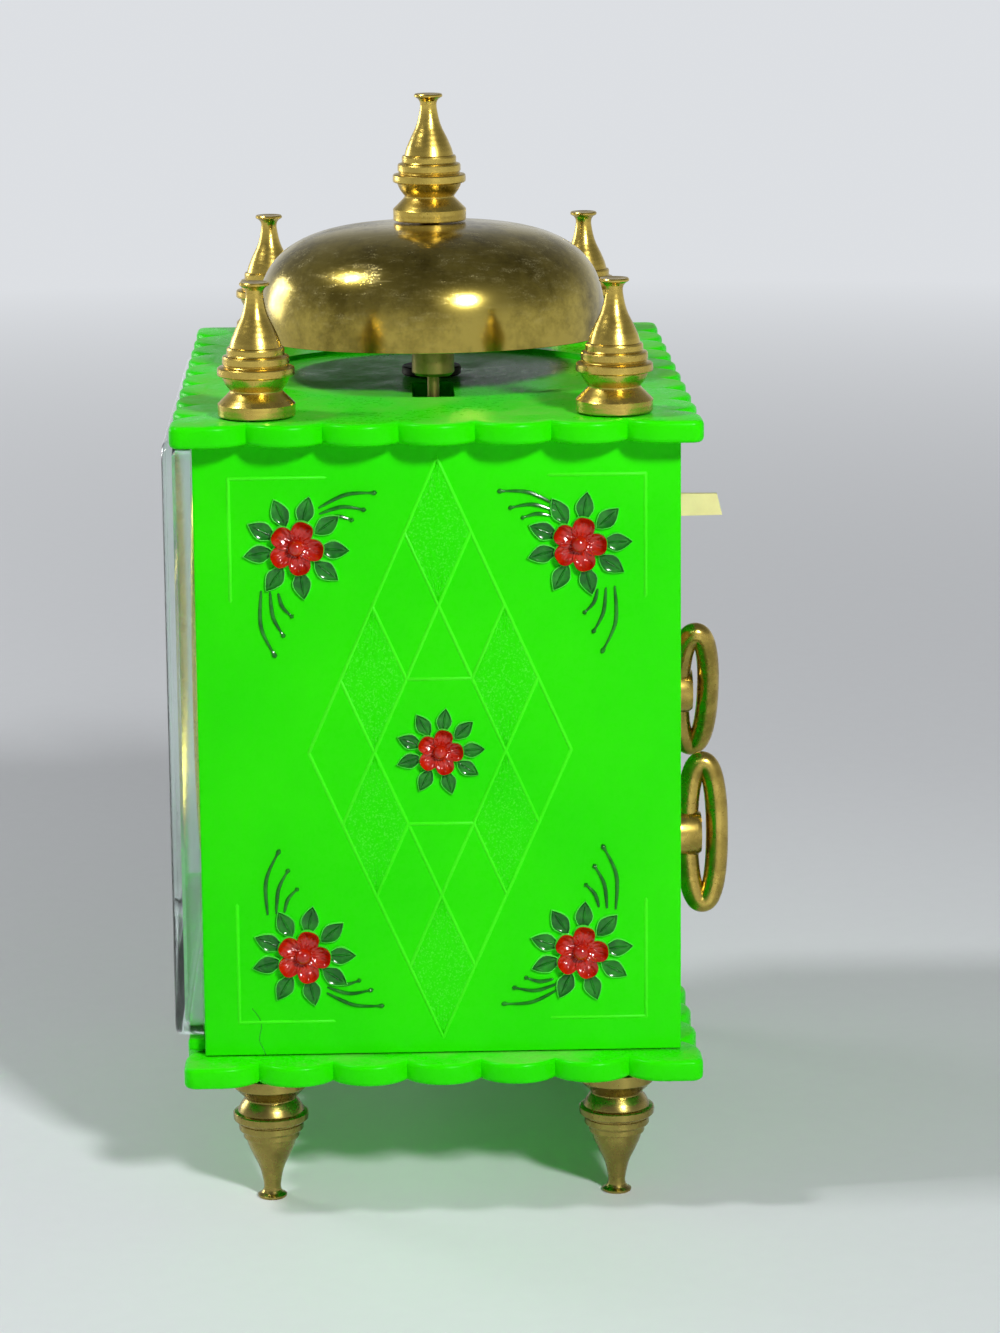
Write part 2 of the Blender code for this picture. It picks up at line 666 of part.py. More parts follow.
def scalloped_outline(inset):
    """The outline of a top or base plate, moved in by an inset."""
    width = 2 * PLATE_HALF_WIDTH
    depth = 2 * PLATE_HALF_DEPTH
    wide = scalloped_side(width, WIDE_SCALLOP_COUNT, PLATE_HALF_DEPTH, SCALLOP_DEPTH, inset)
    deep = scalloped_side(depth, DEEP_SCALLOP_COUNT, PLATE_HALF_WIDTH, SCALLOP_DEPTH, inset)
    corner_x = PLATE_HALF_WIDTH - PLATE_CORNER_RADIUS
    corner_y = PLATE_HALF_DEPTH - PLATE_CORNER_RADIUS
    radius = PLATE_CORNER_RADIUS - inset
    quarter = TAU / 4
    corner_steps = PLATE_CORNER_STEPS
    points = [(out, along) for along, out in deep]
    points += arc(radius, (corner_x, corner_y), 0.0, quarter, corner_steps)
    points += [(-along, out) for along, out in wide]
    points += arc(radius, (-corner_x, corner_y), quarter, 2 * quarter, corner_steps)
    points += [(-out, -along) for along, out in deep]
    points += arc(radius, (-corner_x, -corner_y), 2 * quarter, 3 * quarter, corner_steps)
    points += [(along, -out) for along, out in wide]
    points += arc(radius, (corner_x, -corner_y), 3 * quarter, 4 * quarter, corner_steps)
    return points


def scalloped_plate(name, bottom):
    """A scalloped plate with rounded edges and the four tie rod holes."""
    top = bottom + PLATE_THICKNESS
    plain = scalloped_outline(0.0)
    eased = scalloped_outline(PLATE_EDGE_ROUND)
    sections = (
        (eased, bottom),
        (plain, bottom + PLATE_EDGE_ROUND),
        (plain, top - PLATE_EDGE_ROUND),
        (eased, top),
    )
    plate = solid(name, skinned(sections), GREEN)
    drill = [
        (rod(ROD_HOLE_RADIUS, bottom - CUT_OVERRUN, top + CUT_OVERRUN, ROD_SIDES), Vector((x, y, 0.0)))
        for x in (BOSS_X, -BOSS_X)
        for y in (BOSS_Y, -BOSS_Y)
    ]
    cut(plate, gathered(drill), "rod_holes")
    return plate


def make_case_plates():
    """The base plate, and the top plate with its shallow recess, bell hole and hammer slot."""
    scalloped_plate("base_plate", BASE_BOTTOM)
    plate = scalloped_plate("top_plate", TOP_BOTTOM)
    low = TOP_BOTTOM - CUT_OVERRUN
    high = TOP_FACE + CUT_OVERRUN
    slot = box((HAMMER_SLOT_INNER, -HAMMER_SLOT_WIDTH / 2), (HAMMER_SLOT_OUTER, HAMMER_SLOT_WIDTH / 2))
    openings = gathered(
        (
            (rod(POST_RADIUS + RUNNING_GAP, low, high, POST_SIDES), Vector()),
            (slab(slot, low, high), Vector()),
        )
    )
    cut(plate, rod(TOP_RECESS_RADIUS, TOP_FACE - TOP_RECESS_DEPTH, high, TOP_RECESS_SIDES), "recess")
    cut(plate, openings, "bell_openings")


def panel_section():
    """A side panel's section in plan: face, edges, ledges and the two rod bosses."""
    half_chord = math.sqrt(BOSS_RADIUS**2 - (PANEL_INNER - BOSS_X) ** 2)
    lean = math.atan2(half_chord, PANEL_INNER - BOSS_X)
    ledge_meet = math.acos((LEDGE_INNER - BOSS_X) / BOSS_RADIUS) if LEDGE_INNER > BOSS_X - BOSS_RADIUS else TAU / 2
    points = [(PANEL_FACE, -PANEL_EDGE), (PANEL_FACE, PANEL_EDGE), (PANEL_INNER, PANEL_EDGE)]
    points += [(PANEL_INNER, LEDGE_BACK), (LEDGE_INNER, LEDGE_BACK), (LEDGE_INNER, BOSS_Y)]
    points += arc(BOSS_RADIUS, (BOSS_X, BOSS_Y), ledge_meet, TAU - lean, BOSS_STEPS)
    points += arc(BOSS_RADIUS, (BOSS_X, -BOSS_Y), lean, TAU - ledge_meet, BOSS_STEPS)
    points += [(LEDGE_INNER, -BOSS_Y), (LEDGE_INNER, LEDGE_FRONT), (PANEL_INNER, LEDGE_FRONT)]
    points += [(PANEL_INNER, -PANEL_EDGE)]
    return points


def cover_screw_places():
    """Where the back cover is screwed to the panels' ledges, at two opposite corners."""
    x = LEDGE_INNER + SCREW_HEAD_RADIUS / 2
    return [(x, PANEL_BOTTOM + COVER_SCREW_INSET), (-x, PANEL_TOP - COVER_SCREW_INSET)]


def make_side_panels():
    """Both side panels, each bored for its two tie rods and its two cover screws."""
    section = panel_section()
    for side, name in ((1, "side_panel_right"), (-1, "side_panel_left")):
        outline = [(side * x, y) for x, y in section]
        bores = [circle(ROD_HOLE_RADIUS, ROD_SIDES, (side * BOSS_X, y)) for y in (BOSS_Y, -BOSS_Y)]
        panel = solid(name, slab(outline, PANEL_BOTTOM, PANEL_TOP, holes=bores), GREEN)
        depth = COVER_BACK - SCREW_LENGTH - SEAT_GAP
        drills = [
            (rod(SCREW_RADIUS + RUNNING_GAP, depth, LEDGE_BACK + CUT_OVERRUN, SCREW_SIDES, "Y"), Vector((x, 0.0, z)))
            for x, z in cover_screw_places()
            if x * side > 0
        ]
        cut(panel, gathered(drills), "screw_holes")


def finial_profile():
    """The turned shape of a finial, from its bore to its tip."""
    bore = ROD_RADIUS + RUNNING_GAP
    points = [(0.0, FINIAL_BORE_DEPTH), (bore, FINIAL_BORE_DEPTH), (bore, 0.0)]
    points += [(FINIAL_RADIUS * out, FINIAL_HEIGHT * up) for out, up in FINIAL_PROFILE_SHARES]
    return points + [(0.0, FINIAL_HEIGHT)]


def make_finials_and_rods():
    """Four finials, four feet, the finial on the bell, and the rods between them."""
    corners = {
        "front_right": (BOSS_X, -BOSS_Y),
        "front_left": (-BOSS_X, -BOSS_Y),
        "back_right": (BOSS_X, BOSS_Y),
        "back_left": (-BOSS_X, BOSS_Y),
    }
    bell_top = TOP_FACE + BELL_LIFT + BELL_HEIGHT + SEAT_GAP
    first = solid("bell_finial", turned(finial_profile(), FINIAL_SIDES), BRASS, (0.0, 0.0, bell_top))
    for corner, (x, y) in corners.items():
        twin(first, f"finial_{corner}", (x, y, TOP_FACE + SEAT_GAP))
        twin(first, f"foot_{corner}", (x, y, FINIAL_HEIGHT), (math.pi, 0.0, 0.0))
    low = FINIAL_HEIGHT - FINIAL_BORE_DEPTH + SEAT_GAP
    high = TOP_FACE + FINIAL_BORE_DEPTH
    shaft = rod(ROD_RADIUS, low, high, ROD_SIDES)
    repeated("tie_rod", shaft, STEEL, [(x, y, 0.0) for x, y in corners.values()], corners)


def bell_curve(radius, height):
    """The rounded shoulder of the bell, from its crown down to its rim."""
    power = 2 / BELL_CURVE_SHARE
    points = []
    for step in range(BELL_STEPS + 1):
        lean = TAU / 4 * step / BELL_STEPS
        out = radius * math.sin(lean) ** power
        points.append((out, height * max(0.0, math.cos(lean)) ** power))
    return points


def make_bell():
    """The bell, and the post that carries it through the top plate."""
    rim = TOP_FACE + BELL_LIFT
    hole = POST_RADIUS + RUNNING_GAP
    outer = bell_curve(BELL_RADIUS, BELL_HEIGHT)
    inner = bell_curve(BELL_RADIUS - BELL_WALL, BELL_HEIGHT - BELL_WALL)
    outer[0] = (hole, BELL_HEIGHT)
    inner[0] = (hole, BELL_HEIGHT - BELL_WALL)
    solid("bell", turned(outer + inner[::-1], BELL_SIDES), BELL_BRASS, (0.0, 0.0, rim))
    nut_top = TOP_BOTTOM - SEAT_GAP
    flange = TOP_FACE - TOP_RECESS_DEPTH + SEAT_GAP
    column_top = rim + BELL_HEIGHT - BELL_WALL - SEAT_GAP
    tip = rim + BELL_HEIGHT + FINIAL_BORE_DEPTH
    profile = (
        (0.0, nut_top - POST_NUT_THICKNESS),
        (POST_NUT_RADIUS, nut_top - POST_NUT_THICKNESS),
        (POST_NUT_RADIUS, nut_top),
        (POST_RADIUS, nut_top),
        (POST_RADIUS, flange),
        (POST_FLANGE_RADIUS, flange),
        (POST_FLANGE_RADIUS, flange + POST_FLANGE_THICKNESS),
        (POST_COLUMN_RADIUS, flange + POST_FLANGE_THICKNESS),
        (POST_COLUMN_RADIUS, column_top),
        (POST_RADIUS, column_top),
        (POST_RADIUS, tip),
        (0.0, tip),
    )
    solid("bell_post", turned(profile, POST_SIDES), STEEL)


def make_front():
    """The frame with its sill, the dial, the bezel and the clear box."""
    frame_side = PANEL_INNER - SEAT_GAP
    opening = circle(DIAL_OPENING_RADIUS, DIAL_OPENING_SIDES, CENTRE)
    outline = box((-frame_side, PANEL_BOTTOM), (frame_side, PANEL_TOP))
    frame = solid("front_frame", slab(outline, -PANEL_EDGE, FRAME_BACK, "Y", [opening]), GREEN)
    sill = box((-frame_side, PANEL_BOTTOM), (frame_side, PANEL_BOTTOM + SILL_HEIGHT))
    fuse(frame, slab(sill, -PANEL_EDGE - SILL_REACH, -PANEL_EDGE + JOIN_DEPTH, "Y"), "sill")

    dial_side = frame_side - SEAT_GAP
    dial_half_height = DIAL_OPENING_RADIUS + DIAL_MARGIN
    corners = (
        (-dial_side, CENTRE.z - dial_half_height),
        (dial_side, CENTRE.z + dial_half_height),
    )
    hole = circle(ALARM_TUBE_RADIUS + RUNNING_GAP, TUBE_SIDES, CENTRE)
    solid("dial", slab(box(*corners), DIAL_FRONT, DIAL_BACK, "Y", [hole]), IVORY)

    back = -PANEL_EDGE - SEAT_GAP
    outer = DIAL_OPENING_RADIUS + BEZEL_WIDTH
    profile = (
        (DIAL_OPENING_RADIUS - BEZEL_LIP, back),
        (outer, back),
        (outer - BEZEL_LIP, back - BEZEL_DEPTH),
        (DIAL_OPENING_RADIUS, back - BEZEL_DEPTH),
    )
    solid("dial_bezel", turned(profile, DIAL_OPENING_SIDES, "Y"), BRASS, (CENTRE.x, 0.0, CENTRE.z))

    side = PANEL_FACE - CRYSTAL_INSET_SIDE
    low = PANEL_BOTTOM + SILL_HEIGHT + SEAT_GAP
    high = PANEL_TOP

    def ring(inset):
        """The clear box's outline, moved in by an inset."""
        radius = max(CRYSTAL_CORNER_RADIUS - inset, CRYSTAL_EDGE_ROUND / 2)
        return rounded_box((-side + inset, low + inset), (side - inset, high - inset), radius, CRYSTAL_CORNER_STEPS)

    sections = (
        (ring(CRYSTAL_WALL), CRYSTAL_FRONT + CRYSTAL_WALL),
        (ring(CRYSTAL_WALL), CRYSTAL_BACK),
        (ring(0.0), CRYSTAL_BACK),
        (ring(0.0), CRYSTAL_FRONT + CRYSTAL_EDGE_ROUND),
        (ring(CRYSTAL_EDGE_ROUND), CRYSTAL_FRONT),
    )
    solid("crystal", skinned(sections, "Y"), CLEAR)


def plate_corners():
    """The places of the pillars near the movement plates' corners."""
    x = MOVEMENT_HALF_WIDTH - PILLAR_INSET
    heights = (CENTRE.z - MOVEMENT_BOTTOM + PILLAR_INSET, CENTRE.z + MOVEMENT_TOP - PILLAR_INSET)
    return [(side * x, height) for side in (1, -1) for height in heights]


def spacer_places():
    """Three of those corners, where the movement is screwed to the back cover."""
    return [(x, z) for x, z in plate_corners() if x > 0 or z < CENTRE.z]


def spring_post_places():
    """The posts that hold the outer ends of the mainsprings."""
    beyond = SPRING_POST_RADIUS + 2 * SEAT_GAP
    time_post = next_arbor(TIME, TIME_WHEEL_TIP + beyond, TAU / 2)
    return time_post, next_arbor(ALARM, ALARM_WHEEL_TIP + beyond, TAU / 2)


def lever_slot():
    """The opening in the back cover in which the alarm stop lever's tab swings."""
    reach = (LEVER_RISE + LEVER_TAB_ROOT / 2) * math.sin(LEVER_SWING)
    low = LEVER.z + LEVER_RISE * math.cos(LEVER_SWING) - LEVER_TAB_ROOT / 2 - SLOT_MARGIN
    high = LEVER.z + LEVER_RISE + LEVER_TAB_ROOT / 2 + SLOT_MARGIN
    side = reach + LEVER_THICKNESS + SLOT_MARGIN
    return box((LEVER.x - side, low), (LEVER.x + side, high))


def regulator_slot():
    """The opening in the back cover in which the regulator's tip swings."""
    side = REGULATOR_ARM * math.sin(REGULATOR_SWING) + REGULATOR_WIDTH / 2 + SLOT_MARGIN
    high = BALANCE.z - REGULATOR_ARM * math.cos(REGULATOR_SWING) + REGULATOR_WIDTH / 2 + SLOT_MARGIN
    low = BALANCE.z - REGULATOR_ARM - REGULATOR_WIDTH / 2 - SLOT_MARGIN
    return box((BALANCE.x - side, low), (BALANCE.x + side, high))


def screw(length):
    """A cheese-headed screw whose head rests at zero and whose shank runs towards -Y."""
    profile = (
        (0.0, SCREW_HEAD_HEIGHT),
        (SCREW_HEAD_RADIUS, SCREW_HEAD_HEIGHT),
        (SCREW_HEAD_RADIUS, 0.0),
        (SCREW_RADIUS, 0.0),
        (SCREW_RADIUS, -length),
        (0.0, -length),
    )
    return turned(profile, SCREW_SIDES, "Y")


def make_back():
    """The back cover with its openings, and the screws through it."""
    side = PANEL_INNER - SEAT_GAP
    outline = box((-side, PANEL_BOTTOM), (side, PANEL_TOP))
    winding = WINDING_ARBOR_RADIUS + RUNNING_GAP
    setting = CENTRE_ARBOR_RADIUS + RUNNING_GAP
    shank = SCREW_RADIUS + RUNNING_GAP
    holes = [circle(winding, HOLE_SIDES, TIME), circle(winding, HOLE_SIDES, ALARM)]
    holes += [circle(setting, HOLE_SIDES, CENTRE), circle(setting, HOLE_SIDES, ALARM_SET)]
    holes += [circle(shank, HOLE_SIDES, spot) for spot in cover_screw_places() + spacer_places()]
    holes += [lever_slot(), regulator_slot()]
    solid("back_cover", slab(outline, COVER_FRONT, COVER_BACK, "Y", holes), GREEN)
    head = COVER_BACK + SEAT_GAP
    for name, spots in (("cover_screw", cover_screw_places()), ("movement_screw", spacer_places())):
        places = [(x, head, z) for x, z in spots]
        repeated(name, screw(SCREW_LENGTH), STEEL, places, range(1, len(spots) + 1))


def make_movement_frame():
    """Front and back plates with their pivot holes, and the pillars, spacers and posts."""
    low = (-MOVEMENT_HALF_WIDTH, CENTRE.z - MOVEMENT_BOTTOM)
    high = (MOVEMENT_HALF_WIDTH, CENTRE.z + MOVEMENT_TOP)
    outline = rounded_box(low, high, MOVEMENT_CORNER_RADIUS, PLATE_CORNER_STEPS)
    pivot = PIVOT_RADIUS + RUNNING_GAP
    pivots = [circle(pivot, HOLE_SIDES, at) for at in (THIRD, FOURTH, ESCAPE, PALLET, BALANCE, ALARM_ESCAPE, HAMMER)]
    winding = circle(WINDING_ARBOR_RADIUS + RUNNING_GAP, HOLE_SIDES)
    setting = circle(CENTRE_ARBOR_RADIUS + RUNNING_GAP, HOLE_SIDES)
    shared = pivots
    for at in (TIME, ALARM):
        shared = shared + [[(x + at.x, z + at.z) for x, z in winding]]
    for at in (CENTRE, ALARM_SET):
        shared = shared + [[(x + at.x, z + at.z) for x, z in setting]]
    front = solid(
        "movement_front_plate", slab(outline, FRONT_PLATE_FACE, MOVEMENT_FRONT, "Y", shared), BRASS
    )
    stud_front = FRONT_PLATE_FACE - HOUR_LEVEL - PINION_WIDTH
    stud = rod(PIVOT_RADIUS, stud_front, FRONT_PLATE_FACE + JOIN_DEPTH, ARBOR_SIDES, "Y")
    bars = [(stud, Vector((MINUTE.x, 0.0, MINUTE.z)))]
    low = MOVEMENT_FRONT - JOIN_DEPTH
    high = MOVEMENT_BACK - SEAT_GAP
    for x, z in plate_corners():
        bars.append((rod(PILLAR_RADIUS, low, high, PILLAR_SIDES, "Y"), Vector((x, 0.0, z))))
    for post in spring_post_places():
        bars.append((rod(SPRING_POST_RADIUS, low, high, PILLAR_SIDES, "Y"), Vector((post.x, 0.0, post.z))))
    fuse(front, gathered(bars), "pillars")

    lever_hole = [circle(ARBOR_RADIUS + RUNNING_GAP, HOLE_SIDES, LEVER)]
    back = solid(
        "movement_back_plate", slab(outline, MOVEMENT_BACK, BACK_PLATE_FACE, "Y", shared + lever_hole), BRASS
    )
    bore = [circle(SCREW_RADIUS + RUNNING_GAP, PILLAR_SIDES)]
    low = BACK_PLATE_FACE - JOIN_DEPTH
    spacers = []
    for x, z in spacer_places():
        tube_shape = slab(circle(SPACER_RADIUS, PILLAR_SIDES), low, COVER_FRONT - SEAT_GAP, "Y", bore)
        spacers.append((tube_shape, Vector((x, 0.0, z))))
    fuse(back, gathered(spacers), "spacers")


def toothed(teeth, module, towards):
    """The outline of a wheel or a pinion, with the middle of a tooth at the given angle."""
    root = module * (teeth / 2 - TOOTH_ROOT_SHARE)
    tip = module * (teeth / 2 + TOOTH_TIP_SHARE)
    step = TAU / teeth
    points = []
    for tooth in range(teeth):
        middle = towards + tooth * step
        points.append(polar(tip, middle))
        if teeth <= MOST_PINION_TEETH:
            points.append(polar(root, middle + LEAF_HALF_SHARE * step))
            points.append(polar(root, middle + (1 - LEAF_HALF_SHARE) * step))
        else:
            points.append(polar(root, middle + step / 2))
    return points


def gap_towards(teeth, angle):
    """The angle to hand to a wheel so that a gap between its teeth faces an angle."""
    return angle + TAU / teeth / 2


def pointed(teeth, radius, depth, lean_share):
    """The outline of an escape or ratchet wheel, with leaning pointed teeth."""
    points = []
    for tooth in range(teeth):
        start = TAU * tooth / teeth
        points.append(polar(radius, start))
        points.append(polar(radius - depth, start + TAU * lean_share / teeth))
    return points


def angle_between(start, end):
    """The direction from one arbor to another."""
    return math.atan2(end.z - start.z, end.x - start.x)


def arbor_between_plates(radius):
    """A thin arbor from plate to plate, with a pivot at each end."""
    low = MOVEMENT_FRONT + SEAT_GAP
    high = MOVEMENT_BACK - SEAT_GAP
    profile = (
        (0.0, low - MOVEMENT_PLATE),
        (PIVOT_RADIUS, low - MOVEMENT_PLATE),
        (PIVOT_RADIUS, low),
        (radius, low),
        (radius, high),
        (PIVOT_RADIUS, high),
        (PIVOT_RADIUS, high + MOVEMENT_PLATE),
        (0.0, high + MOVEMENT_PLATE),
    )
    return turned(profile, ARBOR_SIDES, "Y")


def wheel_at(level, outline, thickness=WHEEL_THICKNESS, hole=None):
    """A flat wheel at a level behind the front plate."""
    low = MOVEMENT_FRONT + level
    holes = [circle(hole, HOLE_SIDES)] if hole else ()
    return slab(outline, low, low + thickness, "Y", holes)


def pinion_at(level, outline):
    """A pinion whose leaves straddle the wheel at a level."""
    middle = MOVEMENT_FRONT + level + WHEEL_THICKNESS / 2
    return slab(outline, middle - PINION_WIDTH / 2, middle + PINION_WIDTH / 2, "Y")


def on_axis(arbor):
    """The place of a turning piece, whose origin lies on its axis."""
    return (arbor.x, 0.0, arbor.z)


def make_going_train():
    """Great, centre, third, fourth and escape wheels, each on its own arbor."""
    great = toothed(GREAT_TEETH, GREAT_MODULE, TIME_DIRECTION + math.pi)
    loose = WINDING_ARBOR_RADIUS + RUNNING_GAP
    solid("great_wheel", wheel_at(GREAT_LEVEL, great, hole=loose), BRASS, on_axis(TIME))

    pinion = toothed(CENTRE_PINION_TEETH, GREAT_MODULE, gap_towards(CENTRE_PINION_TEETH, TIME_DIRECTION))
    wheel = toothed(CENTRE_TEETH, THIRD_MODULE, THIRD_DIRECTION)
    pipe = [circle(CENTRE_ARBOR_RADIUS + RUNNING_GAP, HOLE_SIDES)]
    pinion_front = MOVEMENT_FRONT + GREAT_LEVEL + WHEEL_THICKNESS / 2 - PINION_WIDTH / 2
    wheel_front = MOVEMENT_FRONT + CENTRE_LEVEL
    centre = solid(
        "centre_wheel", slab(pinion, pinion_front, wheel_front + JOIN_DEPTH, "Y", pipe), BRASS, on_axis(CENTRE)
    )
    fuse(centre, slab(wheel, wheel_front, wheel_front + WHEEL_THICKNESS, "Y", pipe), "wheel")

    stages = (
        ("third_wheel", THIRD, CENTRE, THIRD_PINION_TEETH, THIRD_MODULE, CENTRE_LEVEL),
        ("fourth_wheel", FOURTH, THIRD, FOURTH_PINION_TEETH, FOURTH_MODULE, THIRD_LEVEL),
        ("escape_wheel", ESCAPE, FOURTH, ESCAPE_PINION_TEETH, ESCAPE_MODULE, FOURTH_LEVEL),
    )
    wheels = {
        "third_wheel": (THIRD_LEVEL, toothed(THIRD_TEETH, FOURTH_MODULE, FOURTH_DIRECTION)),
        "fourth_wheel": (FOURTH_LEVEL, toothed(FOURTH_TEETH, ESCAPE_MODULE, ESCAPE_DIRECTION)),
        "escape_wheel": (ESCAPE_LEVEL, pointed(ESCAPE_TEETH, ESCAPE_RADIUS, ESCAPE_TOOTH_DEPTH, 0.8)),
    }
    for name, arbor, driver, leaves, module, level in stages:
        body = solid(name, arbor_between_plates(ARBOR_RADIUS), BRASS, on_axis(arbor))
        facing = gap_towards(leaves, angle_between(arbor, driver))
        fuse(body, pinion_at(level, toothed(leaves, module, facing)), "pinion")
        fuse(body, wheel_at(*wheels[name]), "wheel")


def armed(arms, hub_radius, half_width):
    """The outline of a flat lever: arms of given angle and length that leave a hub."""
    arms = sorted(arms)
    points = []
    for index, (angle, length) in enumerate(arms):
        side = math.asin(half_width / hub_radius)
        tip = math.atan2(half_width, length)
        reach = math.hypot(half_width, length)
        points += [polar(hub_radius, angle - side), polar(reach, angle - tip)]
        points += [polar(reach, angle + tip), polar(hub_radius, angle + side)]
        following = arms[(index + 1) % len(arms)][0]
        gap = (following - angle) % TAU or TAU
        between = max(1, round(gap / (TAU / ARBOR_SIDES)) - 1)
        for step in range(1, between + 1):
            lean = side + (gap - 2 * side) * step / (between + 1)
            points.append(polar(hub_radius, angle + lean))
    return points


def make_escapement():
    """Pallet lever, balance and hairspring."""
    towards_escape = angle_between(PALLET, ESCAPE)
    towards_balance = angle_between(PALLET, BALANCE)
    fork = BALANCE_DISTANCE - PALLET_HUB_RADIUS - PALLET_ARM_WIDTH
    arms = [(towards_balance % TAU, fork)]
    arms += [((towards_escape + side * PALLET_SPREAD) % TAU, PALLET_ARM) for side in (-1, 1)]
    lever = solid("pallet_lever", arbor_between_plates(ARBOR_RADIUS), STEEL, on_axis(PALLET))
    outline = armed(arms, PALLET_HUB_RADIUS, PALLET_ARM_WIDTH / 2)
    fuse(lever, wheel_at(PALLET_LEVEL, outline, PALLET_THICKNESS), "lever")
    pin_front = MOVEMENT_FRONT + ESCAPE_LEVEL + WHEEL_THICKNESS + SEAT_GAP
    pin_back = MOVEMENT_FRONT + PALLET_LEVEL + JOIN_DEPTH
    pins = []
    for side in (-1, 1):
        x, z = polar(PALLET_ARM - PALLET_ARM_WIDTH / 2, towards_escape + side * PALLET_SPREAD)
        pins.append((rod(PALLET_PIN_RADIUS, pin_front, pin_back, ARBOR_SIDES, "Y"), Vector((x, 0.0, z))))
    fuse(lever, gathered(pins), "pins")

    balance = solid("balance_wheel", arbor_between_plates(ARBOR_RADIUS), BRASS, on_axis(BALANCE))
    window = BALANCE_RADIUS - BALANCE_RIM
    half = math.asin(BALANCE_SPOKE / 2 / window)
    windows = [
        arc(window, (0.0, 0.0), start + half, start + TAU / 2 - half, BALANCE_SIDES // 3)
        for start in (0.0, TAU / 2)
    ]
    rim = circle(BALANCE_RADIUS, BALANCE_SIDES)
    low = MOVEMENT_FRONT + BALANCE_LEVEL
    fuse(balance, slab(rim, low, low + BALANCE_THICKNESS, "Y", windows), "rim")
    collet_low = MOVEMENT_FRONT + HAIRSPRING_LEVEL
    inner = HAIRSPRING_COLLET_RADIUS + HAIRSPRING_STRIP / 2 + SEAT_GAP / 2
    fuse(balance, rod(HAIRSPRING_COLLET_RADIUS, collet_low, collet_low + HAIRSPRING_WIDTH, ARBOR_SIDES, "Y"), "collet")
    spring = spiral(inner, HAIRSPRING_RADIUS, HAIRSPRING_RADIUS, HAIRSPRING_STRIP, HAIRSPRING_TURNS, 0.0)
    solid("hairspring", slab(spring, collet_low, collet_low + HAIRSPRING_WIDTH, "Y"), BLUED, on_axis(BALANCE))


def spiral(inner, outer, tail, strip, turns, end_angle):
    """The outline of a strip wound outwards, whose last stretch swings out to a tail radius."""
    steps = turns * SPIRAL_STEPS
    inside = []
    outside = []
    for step in range(steps + 1):
        share = step / steps
        radius = inner + (outer - inner) * share
        tail_share = max(0.0, share - MAINSPRING_TAIL_SHARE) / (1 - MAINSPRING_TAIL_SHARE)
        radius += (tail - outer) * tail_share
        angle = end_angle - TAU * turns * (1 - share)
        inside.append(polar(radius - strip / 2, angle))
        outside.append(polar(radius + strip / 2, angle))
    return outside + inside[::-1]


def make_winding(name, arbor, key_turn, spring_shares, post):
    """One winding side: arbor with ratchet, mainspring, click and key."""
    low = MOVEMENT_FRONT + SEAT_GAP - MOVEMENT_PLATE
    high = KEY_FRONT + KEY_BORE_DEPTH - SEAT_GAP
    shaft = solid(f"{name}_arbor", rod(WINDING_ARBOR_RADIUS, low, high, KEY_SIDES, "Y"), STEEL, on_axis(arbor))
    ratchet = pointed(RATCHET_TEETH, RATCHET_RADIUS, RATCHET_TOOTH_DEPTH, 0.85)
    fuse(shaft, wheel_at(RATCHET_LEVEL, ratchet, RATCHET_THICKNESS), "ratchet")

    tail = math.dist(arbor, post) - SPRING_POST_RADIUS - MAINSPRING_STRIP / 2 - SEAT_GAP
    outer = tail * MAINSPRING_RADIUS_SHARE
    outline = spiral(MAINSPRING_INNER_RADIUS, outer, tail, MAINSPRING_STRIP, MAINSPRING_TURNS, TAU / 2)
    start, end = (MOVEMENT_FRONT + MOVEMENT_DEPTH * share for share in spring_shares)
    solid(f"{name}_mainspring", slab(outline, start, end, "Y"), BLUED, on_axis(arbor))

    click_angle = -TAU / 4
    click = next_arbor(arbor, CLICK_DISTANCE, click_angle)
    reach = math.pi - math.atan2(RATCHET_RADIUS + CLICK_WIDTH, CLICK_DISTANCE)
    outline = armed([((click_angle + reach) % TAU, CLICK_LENGTH)], CLICK_HUB_RADIUS, CLICK_WIDTH / 2)
    solid(f"{name}_click", wheel_at(RATCHET_LEVEL, outline, CLICK_THICKNESS), STEEL, on_axis(click))

    make_key(f"{name}_key", arbor, key_turn)


def make_key(name, arbor, turn):
    """A winding key: an oval ring on a bored boss."""
    bore = WINDING_ARBOR_RADIUS + RUNNING_GAP
    profile = (
        (0.0, KEY_FRONT + KEY_BORE_DEPTH),
        (bore, KEY_FRONT + KEY_BORE_DEPTH),
        (bore, KEY_FRONT),
        (KEY_BOSS_RADIUS, KEY_FRONT),
        (KEY_BOSS_RADIUS, KEY_RING_CENTRE),
        (0.0, KEY_RING_CENTRE),
    )
    key = solid(name, turned(profile, KEY_SIDES, "Y"), BRASS, on_axis(arbor))
    half_length = KEY_LENGTH / 2 - KEY_WIRE_RADIUS
    half_width = KEY_WIDTH / 2 - KEY_WIRE_RADIUS
    power = 2 / KEY_CURVE_SHARE
    points = []
    for step in range(KEY_STEPS):
        angle = TAU * (step + 0.5) / KEY_STEPS
        out = half_length * math.copysign(abs(math.cos(angle)) ** power, math.cos(angle))
        back_by = half_width * math.copysign(abs(math.sin(angle)) ** power, math.sin(angle))
        x, z = polar(out, turn)
        points.append((x, KEY_RING_CENTRE + back_by, z))
    fuse(key, wire(points, KEY_WIRE_RADIUS, 2, True), "ring")


